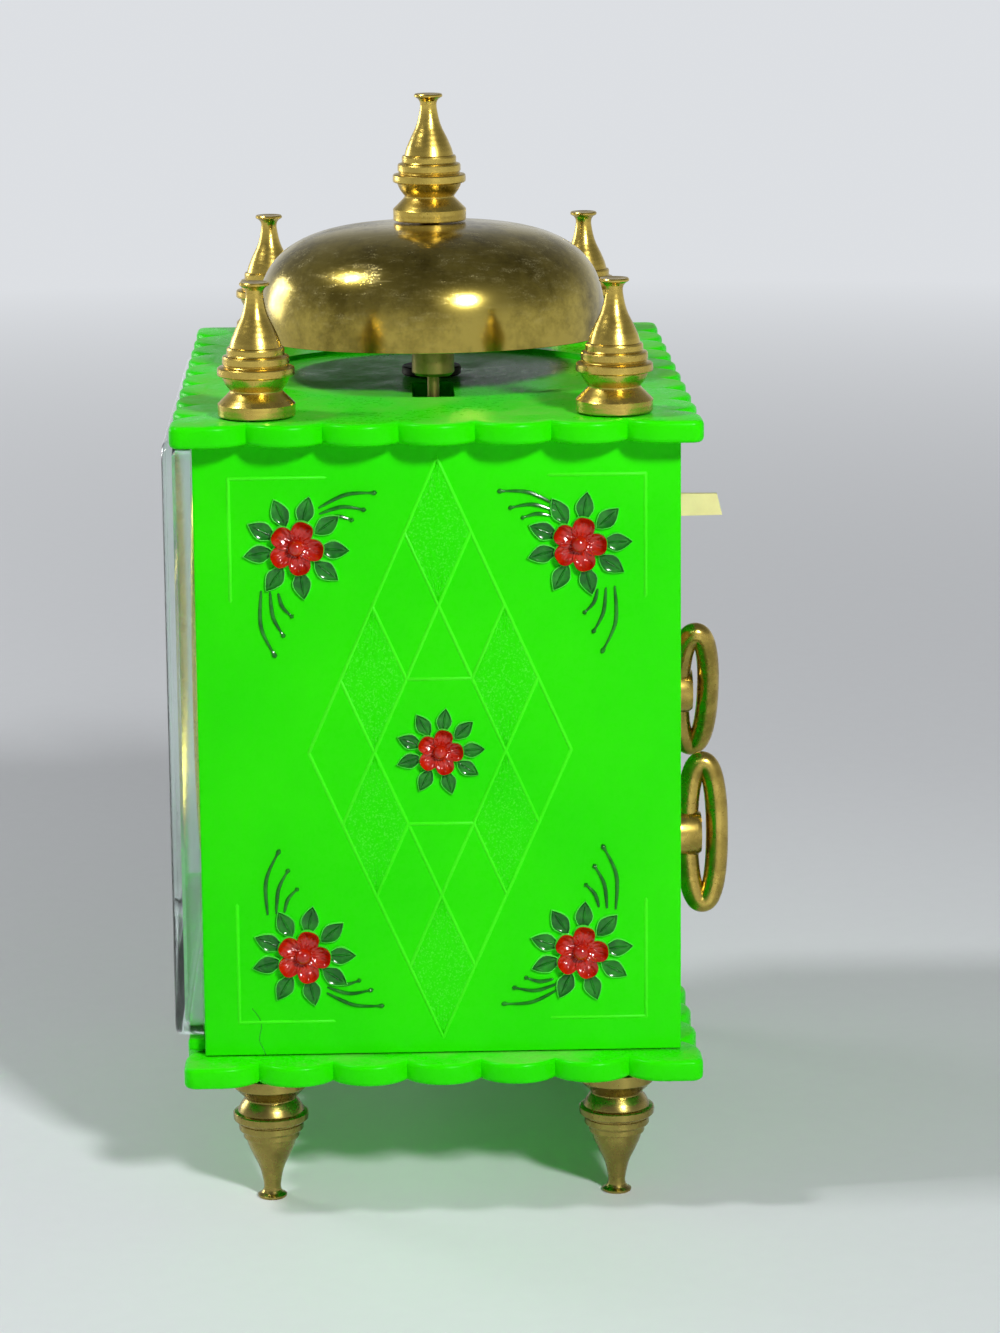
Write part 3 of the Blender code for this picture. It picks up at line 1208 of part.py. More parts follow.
def make_alarm_train():
    """Alarm great wheel, alarm escape wheel, hammer arbor and hammer."""
    great = toothed(ALARM_GREAT_TEETH, ALARM_MODULE, ALARM_ESCAPE_DIRECTION)
    loose = WINDING_ARBOR_RADIUS + RUNNING_GAP
    solid("alarm_great_wheel", wheel_at(GREAT_LEVEL, great, hole=loose), BRASS, on_axis(ALARM))

    body = solid("alarm_escape_wheel", arbor_between_plates(ARBOR_RADIUS), BRASS, on_axis(ALARM_ESCAPE))
    facing = gap_towards(ALARM_PINION_TEETH, angle_between(ALARM_ESCAPE, ALARM))
    fuse(body, pinion_at(GREAT_LEVEL, toothed(ALARM_PINION_TEETH, ALARM_MODULE, facing)), "pinion")
    teeth = pointed(ALARM_ESCAPE_TEETH, ALARM_ESCAPE_RADIUS, ESCAPE_TOOTH_DEPTH, 0.5)
    fuse(body, wheel_at(ALARM_ESCAPE_LEVEL, teeth), "wheel")

    towards = angle_between(HAMMER, ALARM_ESCAPE)
    hammer = solid("hammer", arbor_between_plates(ARBOR_RADIUS), BRASS, on_axis(HAMMER))
    arms = [((towards + side * VERGE_SPREAD) % TAU, VERGE_ARM) for side in (-1, 1)]
    verge_level = ALARM_ESCAPE_LEVEL - PALLET_THICKNESS - 2 * SEAT_GAP
    outline = armed(arms, PALLET_HUB_RADIUS, PALLET_ARM_WIDTH / 2)
    fuse(hammer, wheel_at(verge_level, outline, PALLET_THICKNESS), "verge")
    pin_low = MOVEMENT_FRONT + verge_level + JOIN_DEPTH
    pin_high = MOVEMENT_FRONT + ALARM_ESCAPE_LEVEL - SEAT_GAP
    pins = []
    for side in (-1, 1):
        x, z = polar(VERGE_ARM - PALLET_ARM_WIDTH / 2, towards + side * VERGE_SPREAD)
        pins.append((rod(VERGE_PIN_RADIUS, pin_low, pin_high, ARBOR_SIDES, "Y"), Vector((x, 0.0, z))))
    fuse(hammer, gathered(pins), "pins")

    head_low = TOP_FACE + HAMMER_HEAD_LOW - HAMMER.z
    head_high = head_low + HAMMER_HEAD_HEIGHT
    profile = (
        (0.0, head_low),
        (HAMMER_HEAD_RADIUS - HAMMER_HEAD_EDGE, head_low),
        (HAMMER_HEAD_RADIUS, head_low + HAMMER_HEAD_EDGE),
        (HAMMER_HEAD_RADIUS, head_high - HAMMER_HEAD_EDGE),
        (HAMMER_HEAD_RADIUS - HAMMER_HEAD_EDGE, head_high),
        (0.0, head_high),
    )
    fuse(hammer, rod(HAMMER_HUB_RADIUS, -HAMMER_HUB_WIDTH / 2, HAMMER_HUB_WIDTH / 2, POST_SIDES, "Y"), "hub")
    lean = HAMMER_REACH - HAMMER.x
    foot = (circle(HAMMER_ROD_RADIUS, ROD_SIDES), HAMMER_HUB_RADIUS - JOIN_DEPTH)
    top = (circle(HAMMER_ROD_RADIUS, ROD_SIDES, (lean, 0.0)), head_low + JOIN_DEPTH)
    fuse(hammer, skinned((foot, top)), "rod")
    fuse(hammer, gathered([(turned(profile, POST_SIDES), Vector((lean, 0.0, 0.0)))]), "head")


def hand(length, hub_radius, hole_radius, turn):
    """A hand's outline and its hole: a hub with one long leaf-shaped blade."""
    neck = HAND_NECK_WIDTH / 2
    opening = math.asin(neck / hub_radius)
    outline = arc(hub_radius, (0.0, 0.0), turn + opening, turn + TAU - opening, HAND_HUB_STEPS)
    right = []
    left = []
    for along, wide in HAND_OUTLINE_SHARES:
        half = wide * HAND_WIDEST / 2
        reach = math.hypot(length * along, half)
        lean = math.atan2(half, length * along)
        right.append(polar(reach, turn - lean))
        left.append(polar(reach, turn + lean))
    return outline + right + left[::-1], [circle(hole_radius, TUBE_SIDES)]


def tube(inner, outer, low, high):
    """A pipe along Y."""
    return slab(circle(outer, TUBE_SIDES), low, high, "Y", [circle(inner, TUBE_SIDES)])


def motion_level(level, width):
    """The two heights of a wheel or pinion in front of the front plate."""
    back = FRONT_PLATE_FACE - level + (width - WHEEL_THICKNESS) / 2
    return back - width, back


def make_motion_work():
    """The centre arbor with its cannon pinion, the minute, hour and alarm wheels, and the hands."""
    front = MINUTE_HAND_FRONT - HAND_TUBE_PROUD
    cannon_back = FRONT_PLATE_FACE - SEAT_GAP
    profile = (
        (0.0, front),
        (CANNON_RADIUS, front),
        (CANNON_RADIUS, cannon_back),
        (CENTRE_ARBOR_RADIUS, cannon_back),
        (CENTRE_ARBOR_RADIUS, KNOB_END),
        (0.0, KNOB_END),
    )
    arbor = solid("centre_arbor", turned(profile, TUBE_SIDES, "Y"), STEEL, on_axis(CENTRE))
    cannon = toothed(CANNON_TEETH, MOTION_MODULE, gap_towards(CANNON_TEETH, MOTION_DIRECTION))
    low, high = motion_level(MINUTE_LEVEL, PINION_WIDTH)
    fuse(arbor, slab(cannon, low, high, "Y"), "cannon_pinion")
    fuse(arbor, knob(), "knob")

    stud_hole = [circle(PIVOT_RADIUS + RUNNING_GAP, HOLE_SIDES)]
    minute = toothed(MINUTE_TEETH, MOTION_MODULE, MOTION_DIRECTION + math.pi)
    low, high = motion_level(MINUTE_LEVEL, WHEEL_THICKNESS)
    leaves = toothed(MINUTE_PINION_TEETH, HOUR_MODULE, gap_towards(MINUTE_PINION_TEETH, MOTION_DIRECTION + math.pi))
    pinion_low, pinion_high = motion_level(HOUR_LEVEL, PINION_WIDTH)
    wheel = solid("minute_wheel", slab(minute, low, high, "Y", stud_hole), BRASS, on_axis(MINUTE))
    fuse(wheel, slab(leaves, pinion_low, low + JOIN_DEPTH, "Y", stud_hole), "pinion")

    hour = toothed(HOUR_TEETH, HOUR_MODULE, MOTION_DIRECTION)
    low, high = motion_level(HOUR_LEVEL, WHEEL_THICKNESS)
    bore = [circle(HOUR_TUBE_INNER, TUBE_SIDES)]
    wheel = solid("hour_wheel", slab(hour, low, high, "Y", bore), BRASS, on_axis(CENTRE))
    hour_front = HOUR_HAND_BACK - HAND_THICKNESS - HAND_TUBE_PROUD
    fuse(wheel, tube(HOUR_TUBE_INNER, HOUR_TUBE_RADIUS, hour_front, low + JOIN_DEPTH), "pipe")

    alarm = toothed(ALARM_WHEEL_TEETH, ALARM_SET_MODULE, ALARM_SET_DIRECTION)
    low, high = motion_level(ALARM_WHEEL_LEVEL, WHEEL_THICKNESS)
    bore = [circle(ALARM_TUBE_INNER, TUBE_SIDES)]
    wheel = solid("alarm_wheel", slab(alarm, low, high, "Y", bore), BRASS, on_axis(CENTRE))
    alarm_front = ALARM_HAND_BACK - HAND_THICKNESS - HAND_TUBE_PROUD
    fuse(wheel, tube(ALARM_TUBE_INNER, ALARM_TUBE_RADIUS, alarm_front, low + JOIN_DEPTH), "pipe")

    set_low, set_high = motion_level(ALARM_WHEEL_LEVEL, PINION_WIDTH)
    setter = rod(CENTRE_ARBOR_RADIUS, set_high - JOIN_DEPTH, KNOB_END, TUBE_SIDES, "Y")
    arbor = solid("alarm_set_arbor", setter, STEEL, on_axis(ALARM_SET))
    leaves = toothed(ALARM_SET_TEETH, ALARM_SET_MODULE, gap_towards(ALARM_SET_TEETH, ALARM_SET_DIRECTION + math.pi))
    fuse(arbor, slab(leaves, set_low, set_high, "Y"), "pinion")
    fuse(arbor, knob(), "knob")

    hands = (
        ("minute_hand", MINUTE_HAND_SHARE, CANNON_RADIUS, MINUTE_HAND_TURN, MINUTE_HAND_BACK),
        ("hour_hand", HOUR_HAND_SHARE, HOUR_TUBE_RADIUS, HOUR_HAND_TURN, HOUR_HAND_BACK),
        ("alarm_hand", ALARM_HAND_SHARE, ALARM_TUBE_RADIUS, ALARM_HAND_TURN, ALARM_HAND_BACK),
    )
    for name, length_share, pipe, turn, back in hands:
        hole = pipe + RUNNING_GAP
        outline, holes = hand(DIAL_OPENING_RADIUS * length_share, hole + HAND_HUB_MARGIN, hole, turn)
        solid(name, slab(outline, back - HAND_THICKNESS, back, "Y", holes), BLACK, on_axis(CENTRE))


def knob():
    """A small ribbed knob behind the back cover."""
    outline = []
    for rib in range(KNOB_RIB_COUNT):
        start = TAU * rib / KNOB_RIB_COUNT
        outline.append(polar(KNOB_RADIUS, start))
        outline.append(polar(KNOB_RADIUS * KNOB_RIB_SHARE, start + TAU / KNOB_RIB_COUNT / 2))
    return slab(outline, KNOB_FRONT, KNOB_FRONT + KNOB_WIDTH, "Y")


def make_levers():
    """The alarm stop lever, whose tab stands out behind, and the regulator."""
    low = BACK_PLATE_FACE + SEAT_GAP
    high = low + LEVER_THICKNESS
    hub = LEVER_ARM_WIDTH * 3 / 4
    outline = armed([(TAU / 4, LEVER_RISE + LEVER_TAB_ROOT / 2)], hub, LEVER_ARM_WIDTH / 2)
    lever = solid("alarm_stop_lever", slab(outline, low, high, "Y"), BRASS, on_axis(LEVER))
    pin_low = BACK_PLATE_FACE - MOVEMENT_PLATE
    fuse(lever, rod(ARBOR_RADIUS, pin_low, low + JOIN_DEPTH, ARBOR_SIDES, "Y"), "pin")
    root = LEVER_TAB_ROOT / 2
    tip = LEVER_TAB_TIP / 2
    tab = (
        (low + JOIN_DEPTH, LEVER_RISE - root),
        (LEVER_TAB_BACK, LEVER_RISE - tip),
        (LEVER_TAB_BACK - tip / 2, LEVER_RISE + tip),
        (low + JOIN_DEPTH, LEVER_RISE + root),
    )
    fuse(lever, slab(tab, -LEVER_THICKNESS / 2, LEVER_THICKNESS / 2, "X"), "tab")

    high = low + REGULATOR_THICKNESS
    outline = armed(
        [(3 * TAU / 4, REGULATOR_ARM + REGULATOR_WIDTH / 2)], REGULATOR_RING_RADIUS, REGULATOR_WIDTH / 2
    )
    hole = [circle(PIVOT_RADIUS + RUNNING_GAP, HOLE_SIDES)]
    regulator = solid("regulator", slab(outline, low, high, "Y", hole), STEEL, on_axis(BALANCE))
    half = REGULATOR_WIDTH / 2
    tip = box((-half, -REGULATOR_ARM - half), (half, -REGULATOR_ARM + half))
    fuse(regulator, slab(tip, low + REGULATOR_THICKNESS / 2, COVER_BACK + REGULATOR_PROUD, "Y"), "tip")


def main():
    """Clears the scene and builds the clock."""
    for old in list(bpy.data.objects):
        bpy.data.objects.remove(old)
    clock = bpy.data.objects.new("clock", None)
    clock.location = (0.0, PLAN_SHIFT, 0.0)
    bpy.context.scene.collection.objects.link(clock)
    make_case_plates()
    make_side_panels()
    make_finials_and_rods()
    make_bell()
    make_front()
    make_back()
    make_movement_frame()
    time_post, alarm_post = spring_post_places()
    make_winding("time", TIME, TIME_KEY_TURN, TIME_SPRING_SHARES, time_post)
    make_winding("alarm", ALARM, ALARM_KEY_TURN, ALARM_SPRING_SHARES, alarm_post)
    make_going_train()
    make_escapement()
    make_alarm_train()
    make_motion_work()
    make_levers()


main()
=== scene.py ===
"""Dresses a wind-up alarm clock: moulded green case, brass bell, finials, feet and keys.

The dial faces -Y, the keys are at +Y and +Z is up. All sizes are in metres, in the
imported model's own frame.
"""

from __future__ import annotations

import json
import logging
import math
import random
from collections.abc import Sequence
from dataclasses import dataclass
from enum import Enum
from functools import cache
from typing import Any

import bmesh
import bpy
from mathutils import Matrix, Vector

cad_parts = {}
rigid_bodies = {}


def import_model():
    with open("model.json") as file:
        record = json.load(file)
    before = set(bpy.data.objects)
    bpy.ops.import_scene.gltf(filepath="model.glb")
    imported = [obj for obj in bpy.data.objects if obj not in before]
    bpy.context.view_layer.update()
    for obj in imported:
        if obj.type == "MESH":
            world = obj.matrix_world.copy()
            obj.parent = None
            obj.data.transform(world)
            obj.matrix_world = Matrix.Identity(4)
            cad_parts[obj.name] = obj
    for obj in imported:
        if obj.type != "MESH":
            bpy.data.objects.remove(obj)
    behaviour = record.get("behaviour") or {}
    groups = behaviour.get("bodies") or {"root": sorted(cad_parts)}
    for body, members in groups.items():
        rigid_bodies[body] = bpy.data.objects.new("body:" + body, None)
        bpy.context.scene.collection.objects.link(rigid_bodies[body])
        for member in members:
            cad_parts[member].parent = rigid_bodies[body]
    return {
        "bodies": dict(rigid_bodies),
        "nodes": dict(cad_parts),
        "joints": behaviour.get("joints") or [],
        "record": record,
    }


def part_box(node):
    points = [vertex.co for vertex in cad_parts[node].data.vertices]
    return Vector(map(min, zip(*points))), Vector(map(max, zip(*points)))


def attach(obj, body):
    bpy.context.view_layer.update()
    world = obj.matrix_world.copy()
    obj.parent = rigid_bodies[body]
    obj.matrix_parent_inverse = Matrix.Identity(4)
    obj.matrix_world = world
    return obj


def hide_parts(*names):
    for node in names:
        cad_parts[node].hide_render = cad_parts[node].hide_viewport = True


MM = 0.001
TAU = 2 * math.pi
QUARTER = math.pi / 2
LOG = logging.getLogger("clock")
SMOOTH_ANGLE = math.radians(38)
EASED_ANGLE = math.radians(32)
FLAT_ANGLE = math.radians(0.5)
WELD = 0.0005 * MM
TIP_SHARE = 0.8

WHITE = (1.0, 1.0, 1.0)
CORNERS = ((1, 1), (1, -1), (-1, 1), (-1, -1))

Point = tuple[float, float]
Triple = tuple[float, float, float]
Colour = Triple


# ---- shapes


class Axis(Enum):
    """The direction along which a shape is turned or pushed."""

    X = "X"
    Y = "Y"
    Z = "Z"

    def place(self, first: float, second: float, along: float) -> Vector:
        """A point from its two coordinates across this axis and its height along it."""
        if self is Axis.Z:
            return Vector((first, second, along))
        if self is Axis.Y:
            return Vector((first, along, second))
        return Vector((along, first, second))


def polar(radius: float, angle: float, centre: Point = (0.0, 0.0)) -> Point:
    """A point at a radius and an angle round a centre."""
    return centre[0] + radius * math.cos(angle), centre[1] + radius * math.sin(angle)


def circle(radius: float, sides: int, centre: Point = (0.0, 0.0)) -> list[Point]:
    """The corners of a round outline."""
    return [polar(radius, TAU * step / sides, centre) for step in range(sides)]


def arc(radius: float, centre: Point, start: float, end: float, steps: int) -> list[Point]:
    """Points along an arc, with both of its ends."""
    return [polar(radius, start + (end - start) * step / steps, centre) for step in range(steps + 1)]


def rounded_box(low: Point, high: Point, radius: float, steps: int = 8) -> list[Point]:
    """A rectangle's outline with rounded corners."""
    corners = (
        (high[0] - radius, high[1] - radius),
        (low[0] + radius, high[1] - radius),
        (low[0] + radius, low[1] + radius),
        (high[0] - radius, low[1] + radius),
    )
    points: list[Point] = []
    for quarter, corner in enumerate(corners):
        points += arc(radius, corner, quarter * QUARTER, (quarter + 1) * QUARTER, steps)
    return points


def rectangle(low: Point, high: Point) -> list[Point]:
    """The corners of an upright rectangle."""
    return [low, (high[0], low[1]), high, (low[0], high[1])]


def turned(points: Sequence[Point], angle: float, centre: Point) -> list[Point]:
    """Points turned round the origin and then moved to a centre."""
    cos, sin = math.cos(angle), math.sin(angle)
    return [(centre[0] + x * cos - y * sin, centre[1] + x * sin + y * cos) for x, y in points]


def curve_through(points: Sequence[Vector], steps: int) -> list[Vector]:
    """A smooth line through points, with a number of stretches between two of them."""
    last = len(points) - 1
    line: list[Vector] = []
    for index in range(last):
        before, start, end, after = (points[min(max(index + offset, 0), last)] for offset in (-1, 0, 1, 2))
        for step in range(steps):
            t = step / steps
            bent = 2 * start + (end - before) * t + (2 * before - 5 * start + 4 * end - after) * t * t
            line.append(0.5 * (bent + (3 * start - before - 3 * end + after) * t**3))
    return [*line, Vector(points[-1])]


def link(name: str, data: Any) -> bpy.types.Object:
    """Puts an object with its mesh, camera or lamp into the scene."""
    made = bpy.data.objects.new(name, data)
    bpy.context.scene.collection.objects.link(made)
    return made


class Shape:
    """A mesh in the making."""

    def __init__(self) -> None:
        """Starts with nothing."""
        self.bm = bmesh.new()

    def ring(self, points: Sequence[Vector]) -> list[Any]:
        """Adds corners and returns them in order."""
        return [self.bm.verts.new(point) for point in points]

    def band(self, near: Sequence[Any], far: Sequence[Any], wrap: bool = True) -> None:
        """Joins two rows of corners with a strip; a row of one corner is a pole."""
        count = max(len(near), len(far))
        for index in range(count if wrap else count - 1):
            after = (index + 1) % count
            if len(near) == 1:
                corners = (near[0], far[after], far[index])
            elif len(far) == 1:
                corners = (near[index], near[after], far[0])
            else:
                corners = (near[index], near[after], far[after], far[index])
            self.bm.faces.new(corners)

    def bands(self, rows: Sequence[Sequence[Any]], wrap: bool = True) -> None:
        """Joins each row of corners to the next."""
        for near, far in zip(rows, rows[1:]):
            self.band(near, far, wrap)

    def lid(self, ring: Sequence[Any]) -> None:
        """Closes a ring with triangles."""
        edges = [self.bm.edges.get((ring[index - 1], corner)) for index, corner in enumerate(ring)]
        bmesh.ops.triangle_fill(self.bm, use_beauty=True, edges=edges)

    def mesh(self, name: str) -> bpy.types.Mesh:
        """Hands over the finished mesh and lets go of the shape."""
        made = bpy.data.meshes.new(name)
        self.bm.to_mesh(made)
        self.bm.free()
        return made

    def add(self, other: Shape, matrix: Matrix | None = None) -> Shape:
        """Takes in another shape, moved by a matrix, and empties it."""
        mesh = other.mesh("taken")
        if matrix is not None:
            mesh.transform(matrix)
        self.bm.from_mesh(mesh)
        bpy.data.meshes.remove(mesh)
        return self

    def moved(self, matrix: Matrix) -> Shape:
        """Moves all of the shape."""
        self.bm.transform(matrix)
        return self

    def eased(self, width: float, segments: int = 2) -> Shape:
        """Rounds every sharp edge."""
        bmesh.ops.remove_doubles(self.bm, verts=self.bm.verts, dist=WELD)
        bmesh.ops.dissolve_limit(self.bm, angle_limit=FLAT_ANGLE, verts=self.bm.verts, edges=self.bm.edges)
        bmesh.ops.recalc_face_normals(self.bm, faces=self.bm.faces)
        sharp = [edge for edge in self.bm.edges if edge.is_manifold and edge.calc_face_angle() > EASED_ANGLE]
        bmesh.ops.bevel(
            self.bm, geom=sharp, offset=width, segments=segments, profile=0.5, affect="EDGES", clamp_overlap=True
        )
        return self

    def cut_by(self, cutter: Shape) -> Shape:
        """Takes a closed shape away from this one."""
        holders = []
        for shape in (self, cutter):
            bmesh.ops.recalc_face_normals(shape.bm, faces=shape.bm.faces)
            holders.append(link("cut", shape.mesh("cut")))
        body, tool = holders
        modifier = body.modifiers.new("cut", "BOOLEAN")
        modifier.operation, modifier.solver, modifier.object = "DIFFERENCE", "EXACT", tool
        made = bpy.data.meshes.new_from_object(body.evaluated_get(bpy.context.evaluated_depsgraph_get()))
        self.bm = bmesh.new()
        self.bm.from_mesh(made)
        for mesh in (body.data, tool.data, made):
            bpy.data.meshes.remove(mesh)
        return self


def barrel(radius: float, low: float, high: float, soft: float) -> list[Point]:
    """The side of a cylinder with chamfered ends, as (radius, height) points."""
    return [(radius - soft, low), (radius, low + soft), (radius, high - soft), (radius - soft, high)]


def lathe(profile: Sequence[Point], sides: int, axis: Axis = Axis.Z) -> Shape:
    """A profile of (radius, height) points turned round an axis.

    Args:
        profile: From pole to pole, or a closed loop away from the axis.
        sides: How many facets go round.
        axis: What it turns about.

    Returns:
        The closed shape.
    """
    shape = Shape()
    rows = [
        shape.ring([axis.place(x, y, height) for x, y in circle(radius, sides if radius > 0.0 else 1)])
        for radius, height in profile
    ]
    shape.bands(rows)
    if profile[0][0] > 0.0:
        shape.band(rows[-1], rows[0])
    return shape


def prism(
    outline: Sequence[Point], low: float, high: float, axis: Axis = Axis.Z, holes: Sequence[Sequence[Point]] = ()
) -> Shape:
    """The area between an outline and its holes, pushed from one height to another."""
    shape = Shape()
    edges, twins = [], {}
    for loop in (outline, *holes):
        near, far = (shape.ring([axis.place(a, b, height) for a, b in loop]) for height in (low, high))
        shape.band(near, far)
        edges += [shape.bm.edges.get((near[index - 1], corner)) for index, corner in enumerate(near)]
        twins.update(zip(near, far))
    filled = bmesh.ops.triangle_fill(shape.bm, use_beauty=True, edges=edges)
    for face in [item for item in filled["geom"] if isinstance(item, bmesh.types.BMFace)]:
        shape.bm.faces.new([twins[corner] for corner in reversed(face.verts)])
    return shape


def skin(sections: Sequence[tuple[Sequence[Point], float]], axis: Axis = Axis.Z) -> Shape:
    """A closed skin over matching outlines, each with its height, filled at both ends."""
    shape = Shape()
    rings = [shape.ring([axis.place(a, b, height) for a, b in outline]) for outline, height in sections]
    shape.bands(rings)
    shape.lid(rings[0])
    shape.lid(rings[-1])
    return shape


def sweep(line: Sequence[Vector], radii: Sequence[float], sides: int, closed: bool = False) -> Shape:
    """A round bar of changing radius along a line.

    Args:
        line: The points of its middle.
        radii: The radius at each of them.
        sides: How many facets go round.
        closed: Whether the bar runs back into its start.

    Returns:
        The closed shape, with rounded ends where it is open.
    """
    shape = Shape()
    count = len(line)
    rows = []
    normal = None
    for index, point in enumerate(line):
        before = line[index - 1] if closed or index else point
        after = line[(index + 1) % count] if closed or index < count - 1 else point
        along = (after - before).normalized()
        if normal is None:
            normal = along.orthogonal().normalized()
        normal = (normal - along * normal.dot(along)).normalized()
        side = along.cross(normal)
        if not closed and index == 0:
            rows.append(shape.ring([point - along * radii[0] * TIP_SHARE]))
        rows.append(shape.ring([point + radii[index] * (normal * x + side * y) for x, y in circle(1.0, sides)]))
        if not closed and index == count - 1:
            rows.append(shape.ring([point + along * radii[-1] * TIP_SHARE]))
    shape.bands(rows)
    if closed:
        shape.band(rows[-1], rows[0])
    return shape


# ---- finishes


class Nodes:
    """A node tree, with short ways to add and link nodes."""

    def __init__(self, tree: bpy.types.NodeTree) -> None:
        """Works on a tree that exists."""
        self.tree = tree

    def node(self, kind: str, inputs: dict[Any, Any] | None = None, **settings: Any) -> Any:
        """Adds a node, sets its fields, and fills or links its inputs."""
        made = self.tree.nodes.new(kind)
        for key, value in settings.items():
            setattr(made, key, value)
        for key, value in (inputs or {}).items():
            self.feed(made.inputs[key], value)
        return made

    def feed(self, socket: Any, value: Any) -> None:
        """Links a socket to an output, or sets its value."""
        if isinstance(value, bpy.types.NodeSocket):
            self.tree.links.new(value, socket)
        elif isinstance(value, tuple) and len(value) == 3 and socket.type == "RGBA":
            socket.default_value = (*value, 1.0)
        else:
            socket.default_value = value

    def ramp(self, value: Any, stops: Sequence[tuple[float, Colour]]) -> Any:
        """Turns a value into colours."""
        made = self.node("ShaderNodeValToRGB", {"Fac": value})
        elements = made.color_ramp.elements
        while len(elements) < len(stops):
            elements.new(0.5)
        for element, (place, colour) in zip(elements, stops):
            element.position = place
            element.color = (*colour, 1.0)
        return made.outputs[0]

    def math(self, operation: str, first: Any, second: Any) -> Any:
        """One sum on two values."""
        clamped = operation == "MULTIPLY"
        return self.node("ShaderNodeMath", {0: first, 1: second}, operation=operation, use_clamp=clamped).outputs[0]

    def times(self, first: Any, second: Any) -> Any:
        """Two values multiplied."""
        return self.math("MULTIPLY", first, second)

    def seen_share(self) -> Any:
        """One where a ray comes from the camera, a mirror or glass, and nought elsewhere."""
        rays = self.node("ShaderNodeLightPath").outputs
        either = self.math("MAXIMUM", rays["Is Camera Ray"], rays["Is Glossy Ray"])
        return self.math("MAXIMUM", either, rays["Is Transmission Ray"])


class Graph(Nodes):
    """A material's nodes."""

    def __init__(self, name: str) -> None:
        """Starts from a plain principled shader."""
        self.material = bpy.data.materials.new(name)
        self.material.use_nodes = True
        super().__init__(self.material.node_tree)
        self.shader = self.tree.nodes["Principled BSDF"]
        self.coordinates = self.node("ShaderNodeTexCoord").outputs["Object"]

    def noise(self, scale: float, detail: float = 3.0, roughness: float = 0.55, stretch: Triple = (1, 1, 1)) -> Any:
        """Noise of a scale per metre, stretched along an axis where asked."""
        where = self.coordinates
        if stretch != (1, 1, 1):
            where = self.node("ShaderNodeMapping", {"Vector": where, "Scale": stretch}).outputs[0]
        inputs = {"Vector": where, "Scale": scale, "Detail": detail, "Roughness": roughness}
        return self.node("ShaderNodeTexNoise", inputs).outputs[0]

    def span(self, value: Any, low: float, high: float, start: float = 0.0, end: float = 1.0) -> Any:
        """Maps a value's span to another, clamped."""
        inputs = {"Value": value, "From Min": low, "From Max": high, "To Min": start, "To Max": end}
        return self.node("ShaderNodeMapRange", inputs).outputs[0]

    def mix(self, share: Any, first: Any, second: Any) -> Any:
        """Blends two colours."""
        return self.node("ShaderNodeMix", {0: share, 6: first, 7: second}, data_type="RGBA").outputs[2]

    def bump(self, height: Any, distance: float, strength: float = 1.0, normal: Any = None) -> Any:
        """A bump of a real depth."""
        inputs = {"Height": height, "Distance": distance, "Strength": strength}
        if normal is not None:
            inputs["Normal"] = normal
        return self.node("ShaderNodeBump", inputs).outputs[0]

    def facing_up(self, start: float, end: float) -> Any:
        """How far a surface faces up, as a share between two values."""
        normal = self.node("ShaderNodeNewGeometry").outputs["Normal"]
        return self.span(self.node("ShaderNodeSeparateXYZ", {"Vector": normal}).outputs["Z"], start, end)

    def finish(self, **inputs: Any) -> bpy.types.Material:
        """Feeds the shader by its sockets' names, with spaces written as underscores."""
        for key, value in inputs.items():
            self.feed(self.shader.inputs[key.replace("_", " ")], value)
        return self.material


@dataclass(frozen=True)
class MouldedPlastic:
    """Glossy moulded plastic with a faint flow, fine rubs, dust on what faces up and, where asked, light specks
    painted in as sparkle highlights.
    """

    name: str = "green_plastic"
    colour: Colour = (0.024, 0.74, 0.0)
    deep: Colour = (0.018, 0.69, 0.0)
    dust: Colour = (0.28, 0.50, 0.12)
    dust_share: float = 0.24
    speck: Colour = (0.42, 0.80, 0.26)
    # Colour and share of light specks painted in at random as sparkle highlights.
    fleck: Colour = (0.30, 0.92, 0.16)
    fleck_share: float = 0.0
    roughness: float = 0.27
    shine: float = 0.07

    def build(self) -> bpy.types.Material:
        """Makes the material."""
        graph = Graph(self.name)
        flow = graph.span(graph.noise(38.0, 4.0), 0.35, 0.65)
        colour = graph.mix(flow, self.colour, self.deep)
        patches = graph.span(graph.noise(42.0, 8.0, 0.68), 0.46, 0.66)
        specks = graph.span(graph.noise(2600.0, 2.0), 0.6, 0.72)
        upward = graph.facing_up(0.75, 0.98)
        dusty = graph.times(upward, graph.times(patches, 2 * self.dust_share))
        colour = graph.mix(dusty, colour, self.dust)
        speckled = graph.times(upward, graph.times(specks, self.dust_share))
        colour = graph.mix(speckled, colour, self.speck)
        # Light specks at random: painted highlights that stand for the sparkle of the pebbled grain.
        if self.fleck_share:
            painted_sparkles = graph.span(graph.noise(3800.0, 1.0), 0.55, 0.68, 0.0, self.fleck_share)
            colour = graph.mix(painted_sparkles, colour, self.fleck)
        rub = graph.span(graph.noise(900.0, 3.0, 0.6), 0.3, 0.7, self.roughness - 0.05, self.roughness + 0.09)
        return graph.finish(
            Base_Color=colour,
            Roughness=graph.math("ADD", rub, graph.times(dusty, 0.5)),
            Normal=graph.bump(graph.noise(650.0, 2.0), 0.02 * MM, 0.35),
            Specular_IOR_Level=self.shine,
        )


@dataclass(frozen=True)
class Enamel:
    """Glossy brushed paint over moulded relief, its tone varying in random pools."""

    name: str
    colour: Colour
    thin: Colour
    roughness: float = 0.13
    shine: float = 0.38

    def build(self) -> bpy.types.Material:
        """Makes the material."""
        graph = Graph(self.name)
        pool = graph.span(graph.noise(420.0, 4.0, 0.6), 0.38, 0.68)
        return graph.finish(
            Base_Color=graph.mix(pool, self.colour, self.thin),
            Roughness=graph.span(graph.noise(1500.0, 2.0), 0.3, 0.7, self.roughness, self.roughness + 0.12),
            Normal=graph.bump(graph.noise(1100.0, 2.0), 0.03 * MM, 0.4),
            Specular_IOR_Level=self.shine,
        )


